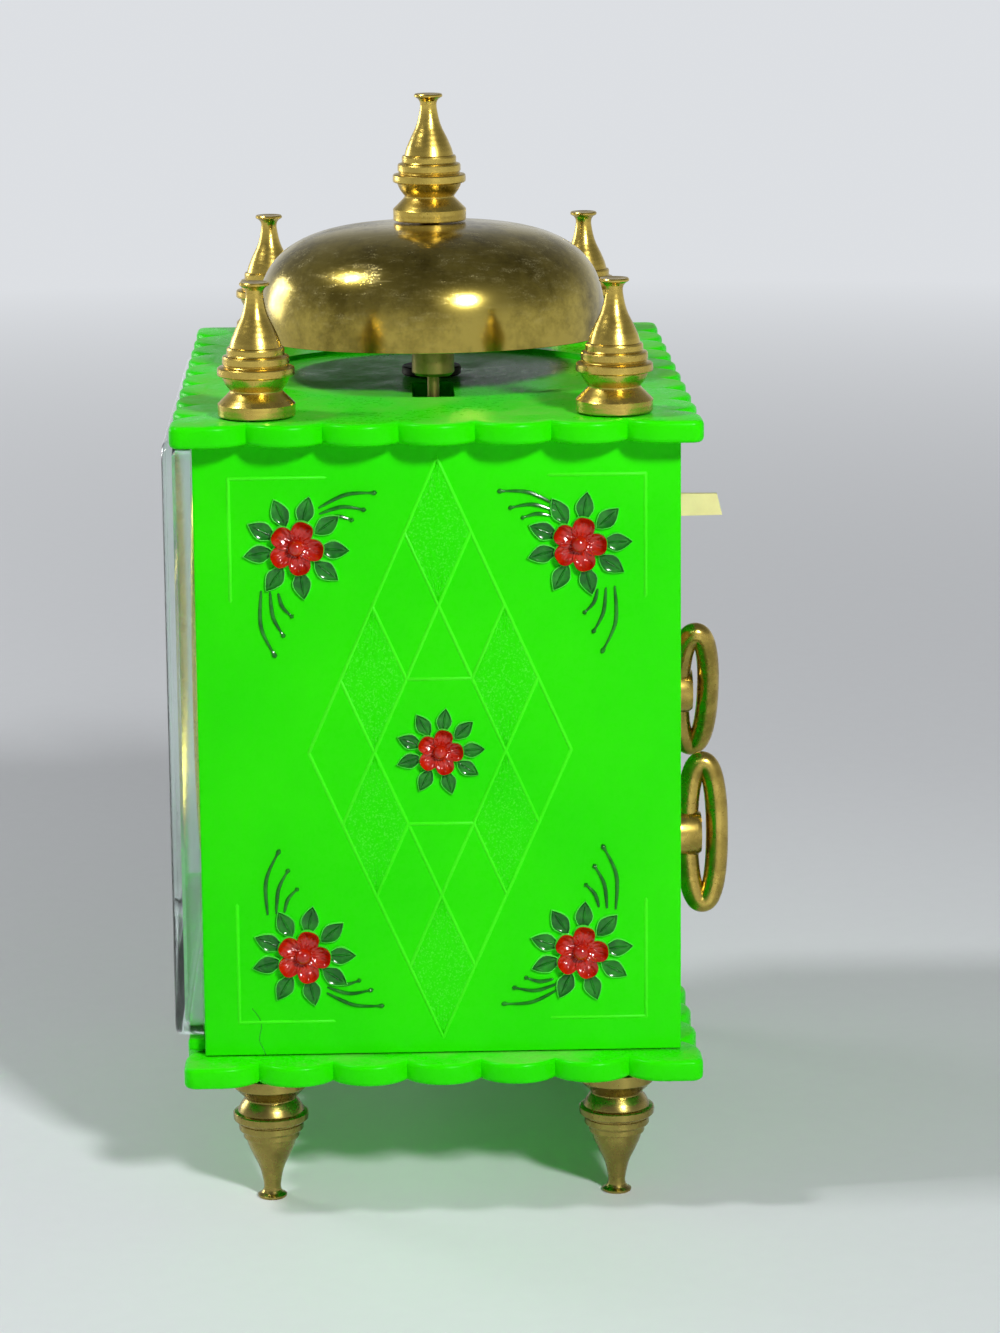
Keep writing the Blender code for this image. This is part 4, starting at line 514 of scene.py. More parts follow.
@dataclass(frozen=True)
class Brass:
    """Brass with tarnish in patches, dirt, rubs and tool marks."""

    name: str
    bright: Colour = (0.80, 0.60, 0.25)
    tarnish: Colour = (0.42, 0.27, 0.08)
    tarnish_share: float = 0.5
    patch_scale: float = 260.0
    roughness: float = 0.27
    ring_marks: float = 0.0
    scratch: float = 0.4

    def build(self) -> bpy.types.Material:
        """Makes the material."""
        graph = Graph(self.name)
        cloud = graph.span(graph.noise(self.patch_scale, 6.0, 0.65), 0.4, 0.72, 0.0, self.tarnish_share)
        pits = graph.span(graph.noise(self.patch_scale * 7, 3.0, 0.6), 0.62, 0.72, 0.0, self.tarnish_share)
        stain = graph.math("MAXIMUM", cloud, pits)
        colour = graph.mix(stain, self.bright, self.tarnish)
        rubs = graph.span(graph.noise(700.0, 4.0, 0.6), 0.3, 0.75, self.roughness, self.roughness + 0.12)
        rough = graph.math("ADD", rubs, graph.times(stain, 0.25))
        scratches = graph.noise(900.0, 2.0, 0.5, (1.0, 1.0, 14.0 if self.ring_marks else 0.12))
        normal = graph.bump(scratches, 0.02 * MM, self.scratch)
        if self.ring_marks:
            inputs = {"Vector": graph.coordinates, "Scale": self.ring_marks, "Distortion": 0.6, "Detail": 2.0}
            wave = graph.node("ShaderNodeTexWave", inputs, bands_direction="Z").outputs[1]
            normal = graph.bump(wave, 0.012 * MM, 0.5, normal)
        return graph.finish(Base_Color=colour, Metallic=1.0, Roughness=rough, Normal=normal)


@dataclass(frozen=True)
class BellBrass:
    """Polished bell brass: mirror-like below, finely speckled and scratched above."""

    name: str = "bell_brass"
    bright: Colour = (0.46, 0.36, 0.075)
    tarnish: Colour = (0.12, 0.09, 0.015)
    pale: Colour = (0.90, 0.78, 0.38)
    mirror_height: float = 0.127
    worn_height: float = 0.139

    def build(self) -> bpy.types.Material:
        """Makes the material."""
        graph = Graph(self.name)
        height = graph.node("ShaderNodeSeparateXYZ", {"Vector": graph.coordinates}).outputs["Z"]
        worn = graph.span(height, self.mirror_height, self.worn_height, 0.08, 1.0)
        cloud = graph.span(graph.noise(75.0, 7.0, 0.72), 0.42, 0.64, 0.0, 0.85)
        scuff = graph.span(graph.noise(420.0, 9.0, 0.78, (1.0, 0.5, 2.2)), 0.5, 0.64)
        grain = graph.span(graph.noise(3200.0, 3.0, 0.6), 0.46, 0.7, 0.25, 1.0)
        speckle = graph.times(scuff, grain)
        zone = graph.times(graph.span(graph.noise(110.0, 5.0, 0.7), 0.38, 0.58, 0.2, 1.0), worn)
        lines = [graph.noise(1500.0, 2.0, 0.5, stretch) for stretch in ((1.0, 0.07, 1.0), (0.4, 0.12, 1.6))]
        hair = graph.span(graph.math("MAXIMUM", *lines), 0.66, 0.74, 0.0, 0.35)
        wear = graph.math("MAXIMUM", graph.times(speckle, zone), graph.times(hair, zone))
        colour = graph.mix(wear, graph.mix(cloud, self.bright, self.tarnish), self.pale)
        rough = graph.math("ADD", graph.span(wear, 0.0, 1.0, 0.15, 0.42), graph.times(cloud, 0.1))
        return graph.finish(Base_Color=colour, Metallic=1.0, Roughness=rough, Normal=graph.bump(wear, 0.02 * MM, 0.5))


@dataclass(frozen=True)
class Steel:
    """Steel or blued steel with a fine grain."""

    name: str
    colour: Colour = (0.55, 0.55, 0.57)
    worn: Colour = (0.34, 0.33, 0.33)
    roughness: float = 0.3

    def build(self) -> bpy.types.Material:
        """Makes the material."""
        graph = Graph(self.name)
        stain = graph.span(graph.noise(350.0, 5.0, 0.6), 0.45, 0.7)
        grain = graph.noise(1400.0, 2.0, 0.5, (1.0, 0.08, 1.0))
        return graph.finish(
            Base_Color=graph.mix(stain, self.colour, self.worn),
            Metallic=1.0,
            Roughness=graph.span(grain, 0.3, 0.7, self.roughness - 0.06, self.roughness + 0.12),
            Normal=graph.bump(grain, 0.01 * MM, 0.4),
        )


@dataclass(frozen=True)
class ClearBox:
    """Clear moulded plastic, a little hazed and streaked."""

    name: str = "clear_plastic"
    colour: Colour = (0.84, 0.95, 0.92)
    haze: float = 0.07

    def build(self) -> bpy.types.Material:
        """Makes the material."""
        graph = Graph(self.name)
        streaks = graph.noise(260.0, 5.0, 0.65, (1.0, 1.0, 0.06))
        return graph.finish(
            Base_Color=self.colour,
            Roughness=graph.span(streaks, 0.35, 0.75, 0.03, 0.2),
            Transmission_Weight=graph.span(streaks, 0.45, 0.72, 1.0, 1.0 - self.haze),
            IOR=1.12,
            Coat_Weight=1.0,
            Coat_Roughness=0.04,
            Normal=graph.bump(graph.noise(500.0, 3.0, 0.5, (1.0, 1.0, 0.1)), 0.02 * MM, 0.3),
        )


@dataclass(frozen=True)
class Matt:
    """Printed card, ink or enamel without a metal's shine."""

    name: str
    colour: Colour
    aged: Colour
    roughness: float = 0.55
    fibre: float = 0.02 * MM

    def build(self) -> bpy.types.Material:
        """Makes the material."""
        graph = Graph(self.name)
        age = graph.span(graph.noise(45.0, 6.0, 0.6), 0.4, 0.75)
        return graph.finish(
            Base_Color=graph.mix(age, self.colour, self.aged),
            Roughness=graph.span(graph.noise(800.0), 0.3, 0.7, self.roughness - 0.05, self.roughness + 0.08),
            Normal=graph.bump(graph.noise(1800.0, 3.0), self.fibre, 0.4),
        )


class Finishes:
    """Every finish of the clock, made once."""

    def __init__(self) -> None:
        """Builds them all."""
        self.green = MouldedPlastic().build()
        self.panel = MouldedPlastic("green_panel", dust_share=0.2).build()
        # The raised lattice lines get a lighter green than the panel: a painted highlight where the ridges catch the
        # light.
        self.raised = MouldedPlastic("green_ridge_painted_highlight", (0.06, 0.84, 0.012), (0.04, 0.80, 0.006)).build()
        # The pebbled rhombi carry painted sparkle highlights.
        self.pebbled = MouldedPlastic("green_pebbled", fleck_share=0.15, roughness=0.2).build()
        self.red = Enamel("red_enamel", (0.50, 0.014, 0.001), (0.36, 0.004, 0.0), 0.07, 0.6).build()
        self.leaf = Enamel("leaf_enamel", (0.004, 0.11, 0.006), (0.016, 0.25, 0.012), 0.1, 0.36).build()
        # Unpainted moulded rims round the leaves and petals, lightened beyond the plastic's own green as painted
        # glints.
        self.rim = MouldedPlastic(
            "green_rim_painted_glint", (0.10, 0.84, 0.06), (0.04, 0.62, 0.02), roughness=0.16, shine=0.5
        ).build()
        marked = {"ring_marks": 420.0, "roughness": 0.17}
        self.turned = Brass("brass_turned", (0.64, 0.47, 0.10), (0.28, 0.19, 0.04), **marked).build()
        # The feet use a darker copy of the turned brass: painted shade for the feet under the base plate.
        self.feet = Brass("brass_feet_painted_shade", (0.34, 0.27, 0.07), (0.14, 0.10, 0.03), **marked).build()
        self.bell = BellBrass().build()
        self.key = Brass("key_brass", (0.60, 0.44, 0.10), (0.16, 0.11, 0.02), 0.75, roughness=0.15).build()
        self.tab = Brass("tab_brass", (0.95, 0.86, 0.42), tarnish_share=0.15, roughness=0.42).build()
        self.movement = Brass("movement_brass", (0.72, 0.56, 0.2), tarnish_share=0.35).build()
        self.steel = Steel("steel").build()
        # Near-black steel for the bell post: painted shade for the post in the dark under the bell.
        self.dark_steel = Steel("dark_steel", (0.02, 0.018, 0.012), (0.008, 0.007, 0.005), 0.45).build()
        # Darkened brass for the hammer: painted shade for the hammer under the bell.
        self.dull = Brass("hammer_brass_painted_shade", (0.30, 0.22, 0.07), (0.10, 0.07, 0.02), 0.6, roughness=0.3).build()
        self.spring = Steel("spring_steel", (0.10, 0.13, 0.22), (0.06, 0.07, 0.10), 0.3).build()
        self.clear = ClearBox().build()
        self.card = Matt("dial_card", (0.80, 0.76, 0.64), (0.70, 0.63, 0.47)).build()
        self.ink = Matt("dial_ink", (0.015, 0.015, 0.017), (0.03, 0.028, 0.025), 0.45, 0.005 * MM).build()
        self.black = Matt("hand_black", (0.012, 0.012, 0.013), (0.03, 0.03, 0.03), 0.3, 0.005 * MM).build()
        self.lume = Matt("hand_lume", (0.52, 0.62, 0.36), (0.45, 0.50, 0.28), 0.6).build()


# ---- the clock's own frame and pieces


@cache
def packed() -> dict[str, Any]:
    """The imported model, loaded once."""
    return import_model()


def joint_place(name: str) -> Point:
    """Where a joint's axis crosses the X and Z plane."""
    joint = next(joint for joint in packed()["joints"] if joint["name"] == name)
    return joint["pos_m"][0], joint["pos_m"][2]


def shift(x: float, z: float) -> Matrix:
    """A move across the front of the clock."""
    return Matrix.Translation((x, 0.0, z))


@dataclass
class Assembly:
    """A group of the clock's pieces, and how they are handed over."""

    finishes: Finishes

    @property
    def plan_y(self) -> float:
        """Where the middle of the plates lies along Y."""
        low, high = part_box("base_plate")
        return (low.y + high.y) / 2

    def depth(self, node: str) -> Point:
        """Where a node starts and ends along Y, counted from the middle of the plates."""
        low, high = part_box(node)
        return low.y - self.plan_y, high.y - self.plan_y

    def publish(
        self,
        name: str,
        shape: Shape,
        finish: bpy.types.Material,
        body: str,
        nodes: Sequence[str] = (),
        slot: str = "",
        centred: bool = True,
        sharp: float = SMOOTH_ANGLE,
    ) -> None:
        """Turns a shape into a piece of the clock.

        Args:
            name: The piece's name.
            shape: Its mesh, in plan coordinates where centred is true.
            finish: Its material.
            body: The CAD body that it rides on.
            nodes: The CAD nodes that it stands for.
            slot: The record's material slot, if it has one; not used.
            centred: Whether the shape's Y counts from the middle of the plates.
            sharp: The angle from which an edge shows as a crease.
        """
        bmesh.ops.remove_doubles(shape.bm, verts=shape.bm.verts, dist=WELD)
        bmesh.ops.recalc_face_normals(shape.bm, faces=shape.bm.faces)
        if centred:
            bmesh.ops.translate(shape.bm, verts=shape.bm.verts, vec=(0.0, self.plan_y, 0.0))
        mesh = shape.mesh(name)
        mesh.materials.append(finish)
        mesh.shade_smooth()
        mesh.set_sharp_from_angle(angle=sharp)
        made = link(name, mesh)
        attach(made, body)
        if nodes:
            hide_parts(*nodes)
        LOG.info("%s: %d faces, rides on %s", name, len(mesh.polygons), body)

    def dress(self, node: str, finish: bpy.types.Material, bevel: float = 0.0) -> None:
        """Gives a CAD node that stays its finish, and eases its edges."""
        kept = packed()["nodes"][node]
        kept.data.materials.clear()
        kept.data.materials.append(finish)
        if bevel:
            modifier = kept.modifiers.new("eased", "BEVEL")
            modifier.width = bevel
            modifier.segments = 2
            modifier.limit_method = "ANGLE"
            modifier.angle_limit = math.radians(40)
        LOG.info("%s keeps its CAD shape", node)


@dataclass
class Plates(Assembly):
    """The scalloped top and base plates."""

    wide_scallops: int = 10
    deep_scallops: int = 7
    scallop_depth: float = 2.9 * MM
    scallop_steps: int = 14
    corner_radius: float = 1.8 * MM
    edge_round: float = 0.75 * MM
    round_steps: int = 4
    boss_x: float = 45.8 * MM
    boss_y: float = 26.0 * MM
    hole_radius: float = 1.75 * MM
    recess_radius: float = 28.5 * MM
    recess_depth: float = 0.8 * MM
    recess_soft: float = 0.35 * MM
    slot_inner: float = 8.0 * MM
    slot_outer: float = 23.0 * MM
    slot_width: float = 6.4 * MM
    slot_round: float = 0.6 * MM
    overrun: float = 1.0 * MM

    def side(self, length: float, bumps: int, crest: float, inset: float) -> list[Point]:
        """One side of a plate, from its left corner to its right one, as (along, out)."""
        half = length / 2
        pitch = length / bumps
        radius = (pitch * pitch / 4 + self.scallop_depth**2) / (2 * self.scallop_depth)
        arm = radius - inset
        reach = math.asin(min(1.0, pitch / 2 / arm))
        points: list[Point] = []
        for bump in range(bumps):
            middle = -half + (bump + 0.5) * pitch
            start = -reach if bump else 0.0
            end = reach if bump < bumps - 1 else 0.0
            steps = round(self.scallop_steps * (end - start) / (2 * reach))
            for step in range(1 if bump else 0, steps + 1):
                lean = start + (end - start) * step / steps
                points.append((middle + arm * math.sin(lean), crest - radius + arm * math.cos(lean)))
        return points

    def outline(self, half_width: float, half_depth: float, inset: float) -> list[Point]:
        """The outline of a plate, moved in by an inset."""
        wide = self.side(2 * half_width, self.wide_scallops, half_depth, inset)
        deep = self.side(2 * half_depth, self.deep_scallops, half_width, inset)
        x, y = half_width - self.corner_radius, half_depth - self.corner_radius
        radius = self.corner_radius - inset
        points = [(out, along) for along, out in deep] + arc(radius, (x, y), 0.0, QUARTER, 6)
        points += [(-along, out) for along, out in wide] + arc(radius, (-x, y), QUARTER, 2 * QUARTER, 6)
        points += [(-out, -along) for along, out in deep] + arc(radius, (-x, -y), -2 * QUARTER, -QUARTER, 6)
        return points + [(along, -out) for along, out in wide] + arc(radius, (x, -y), -QUARTER, 0.0, 6)

    def plate(self, node: str) -> Shape:
        """A plate's body with rounded edges and its rod holes."""
        low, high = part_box(node)
        half_width, half_depth = (high.x - low.x) / 2, (high.y - low.y) / 2
        leans = [QUARTER * step / self.round_steps for step in range(self.round_steps + 1)]
        rounds = [(self.edge_round * (1 - math.sin(lean)), self.edge_round * (1 - math.cos(lean))) for lean in leans]
        levels = [(inset, low.z + rise) for inset, rise in rounds]
        levels += [(inset, high.z - rise) for inset, rise in reversed(rounds)]
        body = skin([(self.outline(half_width, half_depth, inset), height) for inset, height in levels])
        drill = Shape()
        for x, y in CORNERS:
            hole = prism(circle(self.hole_radius, 24), low.z - self.overrun, high.z + self.overrun)
            drill.add(hole, Matrix.Translation((x * self.boss_x, y * self.boss_y, 0.0)))
        return body.cut_by(drill)

    def build(self) -> None:
        """Makes both plates, the top one with its recess, post hole and hammer slot."""
        base = self.plate("base_plate")
        self.publish("base_moulding", base, self.finishes.green, "case", ["base_plate"], "green_plastic")
        top = self.plate("top_plate")
        under, face = (corner.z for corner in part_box("top_plate"))
        low, above, floor = under - self.overrun, face + self.overrun, face - self.recess_depth
        soft, radius = self.recess_soft, self.recess_radius
        recess = ((0.0, floor), (radius - soft, floor), (radius, floor + soft), (radius + soft, above), (0.0, above))
        top.cut_by(lathe(recess, 128))
        half = self.slot_width / 2
        slot = rounded_box((self.slot_inner, -half), (self.slot_outer, half), self.slot_round, 4)
        for hole in (slot, circle(self.hole_radius, 24)):
            top.cut_by(prism(hole, low, above))
        self.publish("top_moulding", top, self.finishes.green, "case", ["top_plate"], "green_plastic")


@dataclass
class Ornament(Assembly):
    """The moulded relief of a side panel: lattice, corner lines, flowers and sprays.

    Places are (across, up) from the panel's middle, with across towards the clock's back.
    """

    half_width: float = 19.3 * MM
    half_height: float = 43.7 * MM
    ridge: tuple[Point, ...] = (
        (-0.34, -0.1), (-0.25, 0.03), (-0.14, 0.13), (0.0, 0.17), (0.14, 0.13), (0.25, 0.03), (0.34, -0.1),
    )
    ridge_root: float = -0.1
    grain_height: float = 0.14 * MM
    grain_rows: int = 66
    grain_columns: int = 28
    corner_across: float = 30.3 * MM
    corner_up: float = 41.0 * MM
    corner_run: float = 14.0 * MM
    corner_drop: float = 18.0 * MM
    flower_across: float = 20.6 * MM
    flower_up: float = 30.8 * MM
    flower_radius: float = 4.0 * MM
    petal_rise: float = 1.6 * MM
    ball_radius: float = 1.25 * MM
    leaf_root: float = 3.3 * MM
    leaf_reach: float = 7.9 * MM
    leaf_width: float = 3.0 * MM
    middle_share: float = 0.85
    leaf_turns: tuple[float, ...] = (1, 41, 80, 119, 158, 194, 240, 283, 326)
    petal_turns: tuple[float, ...] = (-3, 74, 148, 215, 286)
    rim_width: float = 0.13 * MM
    bed_drop: float = 0.3 * MM
    moulded: tuple[Triple, ...] = (
        (1.0, 1.0, -0.1), (1.0, 1.0, 0.38), (0.98, 0.95, 0.5), (0.95, 0.88, 0.5), (0.94, 0.86, 0.02),
    )
    painted: tuple[Triple, ...] = (
        (0.95, 0.88, 0.1), (0.95, 0.88, 0.46), (0.8, 0.6, 0.2), (0.7, 0.14, 0.2), (0.6, 0.04, 0.42), (0.5, 0.0, 0.4),
    )
    face: float = 49.0 * MM
    strokes: tuple[tuple[Point, ...], ...] = (
        ((3.4, 5.8), (7.4, 7.7), (11.7, 7.9)),
        ((3.5, 4.9), (6.8, 5.9), (10.1, 5.4)),
        ((4.2, 4.2), (6.2, 4.5), (8.3, 3.9)),
        ((-5.2, -6.4), (-5.3, -11.7), (-3.3, -16.2)),
        ((-3.9, -6.6), (-3.5, -10.3), (-2.0, -13.2)),
        ((-2.7, -6.8), (-2.1, -8.8), (-0.7, -10.3)),
    )
    crack_places: tuple[Point, ...] = (
        (-28.4, -38.8), (-27.3, -40.4), (-27.1, -41.8), (-27.4, -43.7), (-26.9, -45.0), (-26.5, -46.0),
    )
    crack_radius: float = 0.055 * MM

    def matrix(self, side: int) -> Matrix:
        """Takes (across, up, out) to the panel's face on one side of the clock."""
        low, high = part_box("side_panel_right")
        middle = (low.z + high.z) / 2
        rows = ((0, 0, side, side * self.face), (1, 0, 0, 0), (0, 1, 0, middle), (0, 0, 0, 1))
        return Matrix(rows)

    def grid_point(self, across: int, up: int) -> Vector:
        """A node of the lattice, in quarters of the big rhombus."""
        return Vector((across * self.half_width / 4, up * self.half_height / 4, 0.0))

    def line(self, start: Vector, end: Vector) -> Shape:
        """A raised line on the face, with soft flanks."""
        shape = Shape()
        along = (end - start).normalized()
        side = Vector((-along.y, along.x, 0.0))
        reach = self.ridge[-1][0] * MM
        rows = []
        for spot, share in ((start - along * reach, 0.35), (start, 1.0), (end, 1.0), (end + along * reach, 0.35)):
            heights = [(up - self.ridge_root) * share + self.ridge_root for _, up in self.ridge]
            points = [
                spot + side * (out * share * MM) + Vector((0.0, 0.0, height)) * MM
                for (out, _), height in zip(self.ridge, heights)
            ]
            rows.append(shape.ring(points))
        shape.bands(rows)
        shape.lid(rows[0])
        shape.lid(rows[-1])
        return shape

    def lattice(self) -> Shape:
        """The diamond lattice: the big rhombus, its inner lines and the corner lines."""
        spans = [((0, 4), (4, 0)), ((4, 0), (0, -4)), ((0, -4), (-4, 0)), ((-4, 0), (0, 4))]
        for flip in (1, -1):
            spans += [((-flip, 3), (3 * flip, -1)), ((-3 * flip, 1), (flip, -3))]
            spans += [((-2 * flip, 2), (-flip, 1)), ((flip, -1), (2 * flip, -2))]
            spans.append(((-1, flip), (1, flip)))
        shape = Shape()
        for start, end in spans:
            shape.add(self.line(self.grid_point(*start), self.grid_point(*end)))
        for across, up in CORNERS:
            corner = Vector((across * self.corner_across, up * self.corner_up, 0.0))
            shape.add(self.line(corner, corner - Vector((across * self.corner_run, 0.0, 0.0))))
            shape.add(self.line(corner, corner - Vector((0.0, up * self.corner_drop, 0.0))))
        return shape

    def stipple(self, dice: random.Random) -> Shape:
        """Six small rhombi whose faces are finely pebbled."""
        shape = Shape()
        half, tall = self.half_width / 4, self.half_height / 4
        for across, up in ((0, 3), (0, -3), (2, 1), (2, -1), (-2, 1), (-2, -1)):
            middle = self.grid_point(across, up)
            rows = []
            for row in range(self.grain_rows + 1):
                v = 2 * row / self.grain_rows - 1
                reach = 1 - abs(v)
                points = []
                for column in range(self.grain_columns + 1):
                    u = 2 * column / self.grain_columns - 1
                    inside = row not in (0, self.grain_rows) and abs(u) < 1
                    height = self.grain_height * dice.random() if inside else -0.1 * MM
                    jog = (dice.random() - 0.5) / self.grain_rows * inside
                    spot = (half * u * max(reach, 0.01), tall * (v + jog))
                    points.append(middle + Vector((*spot, height)))
                rows.append(shape.ring(points))
            shape.bands(rows, wrap=False)
        return shape

    def leaf_outline(self, length: float, width: float, steps: int = 8) -> list[Point]:
        """A broad leaf's outline, from its root to its pointed tip and back."""
        right = []
        for step in range(steps + 1):
            t = step / steps
            swell = min(1.0, (t / 0.42) ** 0.6) * (1 - max(0.0, (t - 0.42) / 0.58) ** 1.8)
            right.append((length * t, width / 2 * swell))
        return right + [(x, -y) for x, y in reversed(right[1:-1])]

    def leaf(self, length: float, width: float, levels: Sequence[Triple]) -> Shape:
        """A leaf of nested rings.

        Args:
            length: From its root to its tip.
            width: Across its broadest place.
            levels: For each ring, its share of the length, of the width, and its height in millimetres.

        Returns:
            The closed leaf.
        """
        shape = Shape()
        outline = self.leaf_outline(length, width)
        middle = length * 0.46
        rows = [
            shape.ring([Vector((middle + (x - middle) * long, y * wide, height * MM)) for x, y in outline])
            for long, wide, height in levels
        ]
        shape.bands(rows)
        shape.lid(rows[0])
        if levels[-1][1] > 0:
            shape.lid(rows[-1])
        return shape

    def petal(self, radius: float, rise: float, grow: float, drop: float) -> Shape:
        """A cupped petal that rises away from the flower's heart.

        Args:
            radius: The flower's radius.
            rise: How high the petal's outer rim stands.
            grow: How far its outline is moved outwards.
            drop: How far its surface is lowered.

        Returns:
            The closed petal, along +X.
        """
        shape = Shape()
        sides = 40
        long, wide, middle = radius * 0.42, radius * 0.40, radius * 0.58
        rows = []
        for ring in (0.0, 0.2, 0.38, 0.55, 0.7, 0.82, 0.91, 0.97, 1.0):
            points = []
            for side in range(sides if ring else 1):
                angle = TAU * side / sides
                u, v = (ring * math.copysign(abs(part) ** 0.8, part) for part in (math.cos(angle), math.sin(angle)))
                x = middle + u * long + grow * u
                y = v * wide + grow * v
                height = rise * (0.16 + 0.84 * ring**2.4 * (0.56 + 0.44 * math.cos(angle)))
                height -= rise * (0.03 if ring == 0.97 else 0.14 if ring == 1.0 else 0.0)
                fan = math.atan2(y, x)
                groove = 0.14 * MM * math.cos(18 * fan) * math.sin(math.pi * min(1.0, ring / 0.97)) ** 0.7
                points.append(Vector((x, y, height - drop + groove * (grow == 0.0))))
            rows.append(shape.ring(points))
        rows.append(shape.ring([Vector((v.co.x, v.co.y, -0.1 * MM)) for v in rows[-1]]))
        shape.bands(rows)
        shape.lid(rows[-1])
        return shape

    def flower(self, share: float, turn: float) -> tuple[Shape, Shape, Shape]:
        """The green bed, the painted leaves and the red petals of one flower."""
        radius, rise = self.flower_radius * share, self.petal_rise * share
        bed, leaves, petals = Shape(), Shape(), Shape()
        root = self.leaf_root * share
        length = self.leaf_reach * share - root
        width = self.leaf_width * share
        for degrees in self.leaf_turns:
            spin = Matrix.Rotation(math.radians(degrees + turn), 4, "Z") @ Matrix.Translation((root, 0.0, 0.0))
            bed.add(self.leaf(length, width, self.moulded), spin)
            leaves.add(self.leaf(length, width, self.painted), spin)
        for degrees in self.petal_turns:
            spin = Matrix.Rotation(math.radians(degrees + turn), 4, "Z")
            petals.add(self.petal(radius, rise, 0.0, 0.0), spin)
            bed.add(self.petal(radius, rise, self.rim_width, self.bed_drop), spin)
        ball = self.ball_radius * share
        heart = 0.42 * rise
        dome = [polar(ball, QUARTER * step / 9, (0.0, heart)) for step in range(9)]
        petals.add(lathe([(0.0, 0.0), (ball * 0.9, 0.0), *dome, (0.0, heart + ball)], 32))
        return bed, leaves, petals

    def spray(self) -> Shape:
        """Two sprays of three curved strokes, for a flower whose outer corner is up and to -across."""
        shape = Shape()
        steps = 9
        for stroke in self.strokes:
            line = curve_through([Vector((x * MM, y * MM, 0.12 * MM)) for x, y in stroke], steps)
            count = len(line) - 1
            radii = []
            for index in range(len(line)):
                t = index / count
                dot = 0.24 * math.exp(-(((t - 0.96) / 0.06) ** 2))
                radii.append((0.14 + 0.14 * math.sin(math.pi * min(1.0, t * 1.15)) + dot) * MM)
            shape.add(sweep(line, radii, 8))
        return shape

    def crack(self) -> Shape:
        """The hairline crack at the lower front corner."""
        line = curve_through([Vector((x * MM, y * MM, -0.02 * MM)) for x, y in self.crack_places], 4)
        return sweep(line, [self.crack_radius] * len(line), 6)

    def build(self) -> None:
        """Dresses both panels."""
        finishes = self.finishes
        for side, word in ((1, "right"), (-1, "left")):
            dice = random.Random(7)
            matrix = self.matrix(side)
            lattice, stipple = self.lattice(), self.stipple(dice)
            bed, leaves, petals = self.flower(self.middle_share, 2.0)
            for across, up in CORNERS:
                spot = Matrix.Translation((across * self.flower_across, up * self.flower_up, 0.0))
                for whole, part in zip((bed, leaves, petals), self.flower(1.0, 3.0 * across - 2.0 * up)):
                    whole.add(part, spot)
                leaves.add(self.spray(), spot @ Matrix.Diagonal((-across, up, 1.0, 1.0)))
            for name, shape, finish in (
                ("lattice", lattice, finishes.raised),
                ("stipple", stipple, finishes.pebbled),
                ("flower_bed", bed, finishes.rim),
                ("leaves", leaves, finishes.leaf),
                ("petals", petals, finishes.red),
            ):
                slot = "green_plastic" if finish not in (finishes.leaf, finishes.red) else ""
                self.publish(f"{name}_{word}", shape.moved(matrix), finish, "case", (), slot)
        self.publish("crack_right", self.crack().moved(self.matrix(1)), finishes.leaf, "case")


@dataclass
class Panels(Assembly):
    """The two side panels with their ledges and rod bosses."""

    thickness: float = 2.2 * MM
    boss_radius: float = 3.2 * MM
    boss_inset: float = 9.5 * MM
    bore_radius: float = 1.75 * MM
    ledge_reach: float = 5.6 * MM
    ledge_front: float = -32.4 * MM
    ledge_back: float = 30.75 * MM
    edge_round: float = 0.35 * MM

    def section(self, face: float, edge: float) -> list[Point]:
        """The panel's section in plan, for the right side."""
        inner = face - self.thickness
        x, y = face - self.boss_radius, edge - self.boss_inset
        lean = math.acos((inner - x) / self.boss_radius)
        ledge = inner - self.ledge_reach
        meet = math.acos(max(-1.0, (ledge - x) / self.boss_radius))
        soft = self.edge_round
        points = arc(soft, (face - soft, -edge + soft), -QUARTER, 0.0, 4)
        points += arc(soft, (face - soft, edge - soft), 0.0, QUARTER, 4)
        points += [(inner, edge), (inner, self.ledge_back), (ledge, self.ledge_back), (ledge, y)]
        points += arc(self.boss_radius, (x, y), meet, TAU - lean, 14)
        points += arc(self.boss_radius, (x, -y), lean, TAU - meet, 14)
        return points + [(ledge, -y), (ledge, self.ledge_front), (inner, self.ledge_front), (inner, -edge)]

    def build(self) -> None:
        """Makes both panels."""
        for side, word in ((1, "right"), (-1, "left")):
            node = f"side_panel_{word}"
            low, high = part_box(node)
            face = max(abs(low.x), abs(high.x))
            edge = (high.y - low.y) / 2
            outline = [(side * x, y) for x, y in self.section(face, edge)]
            x = side * (face - self.boss_radius)
            bores = [circle(self.bore_radius, 24, (x, y)) for y in (edge - self.boss_inset, self.boss_inset - edge)]
            panel = prism(outline, low.z, high.z, Axis.Z, bores)
            name = f"panel_moulding_{word}"
            self.publish(name, panel, self.finishes.panel, "case", [node], "green_plastic")


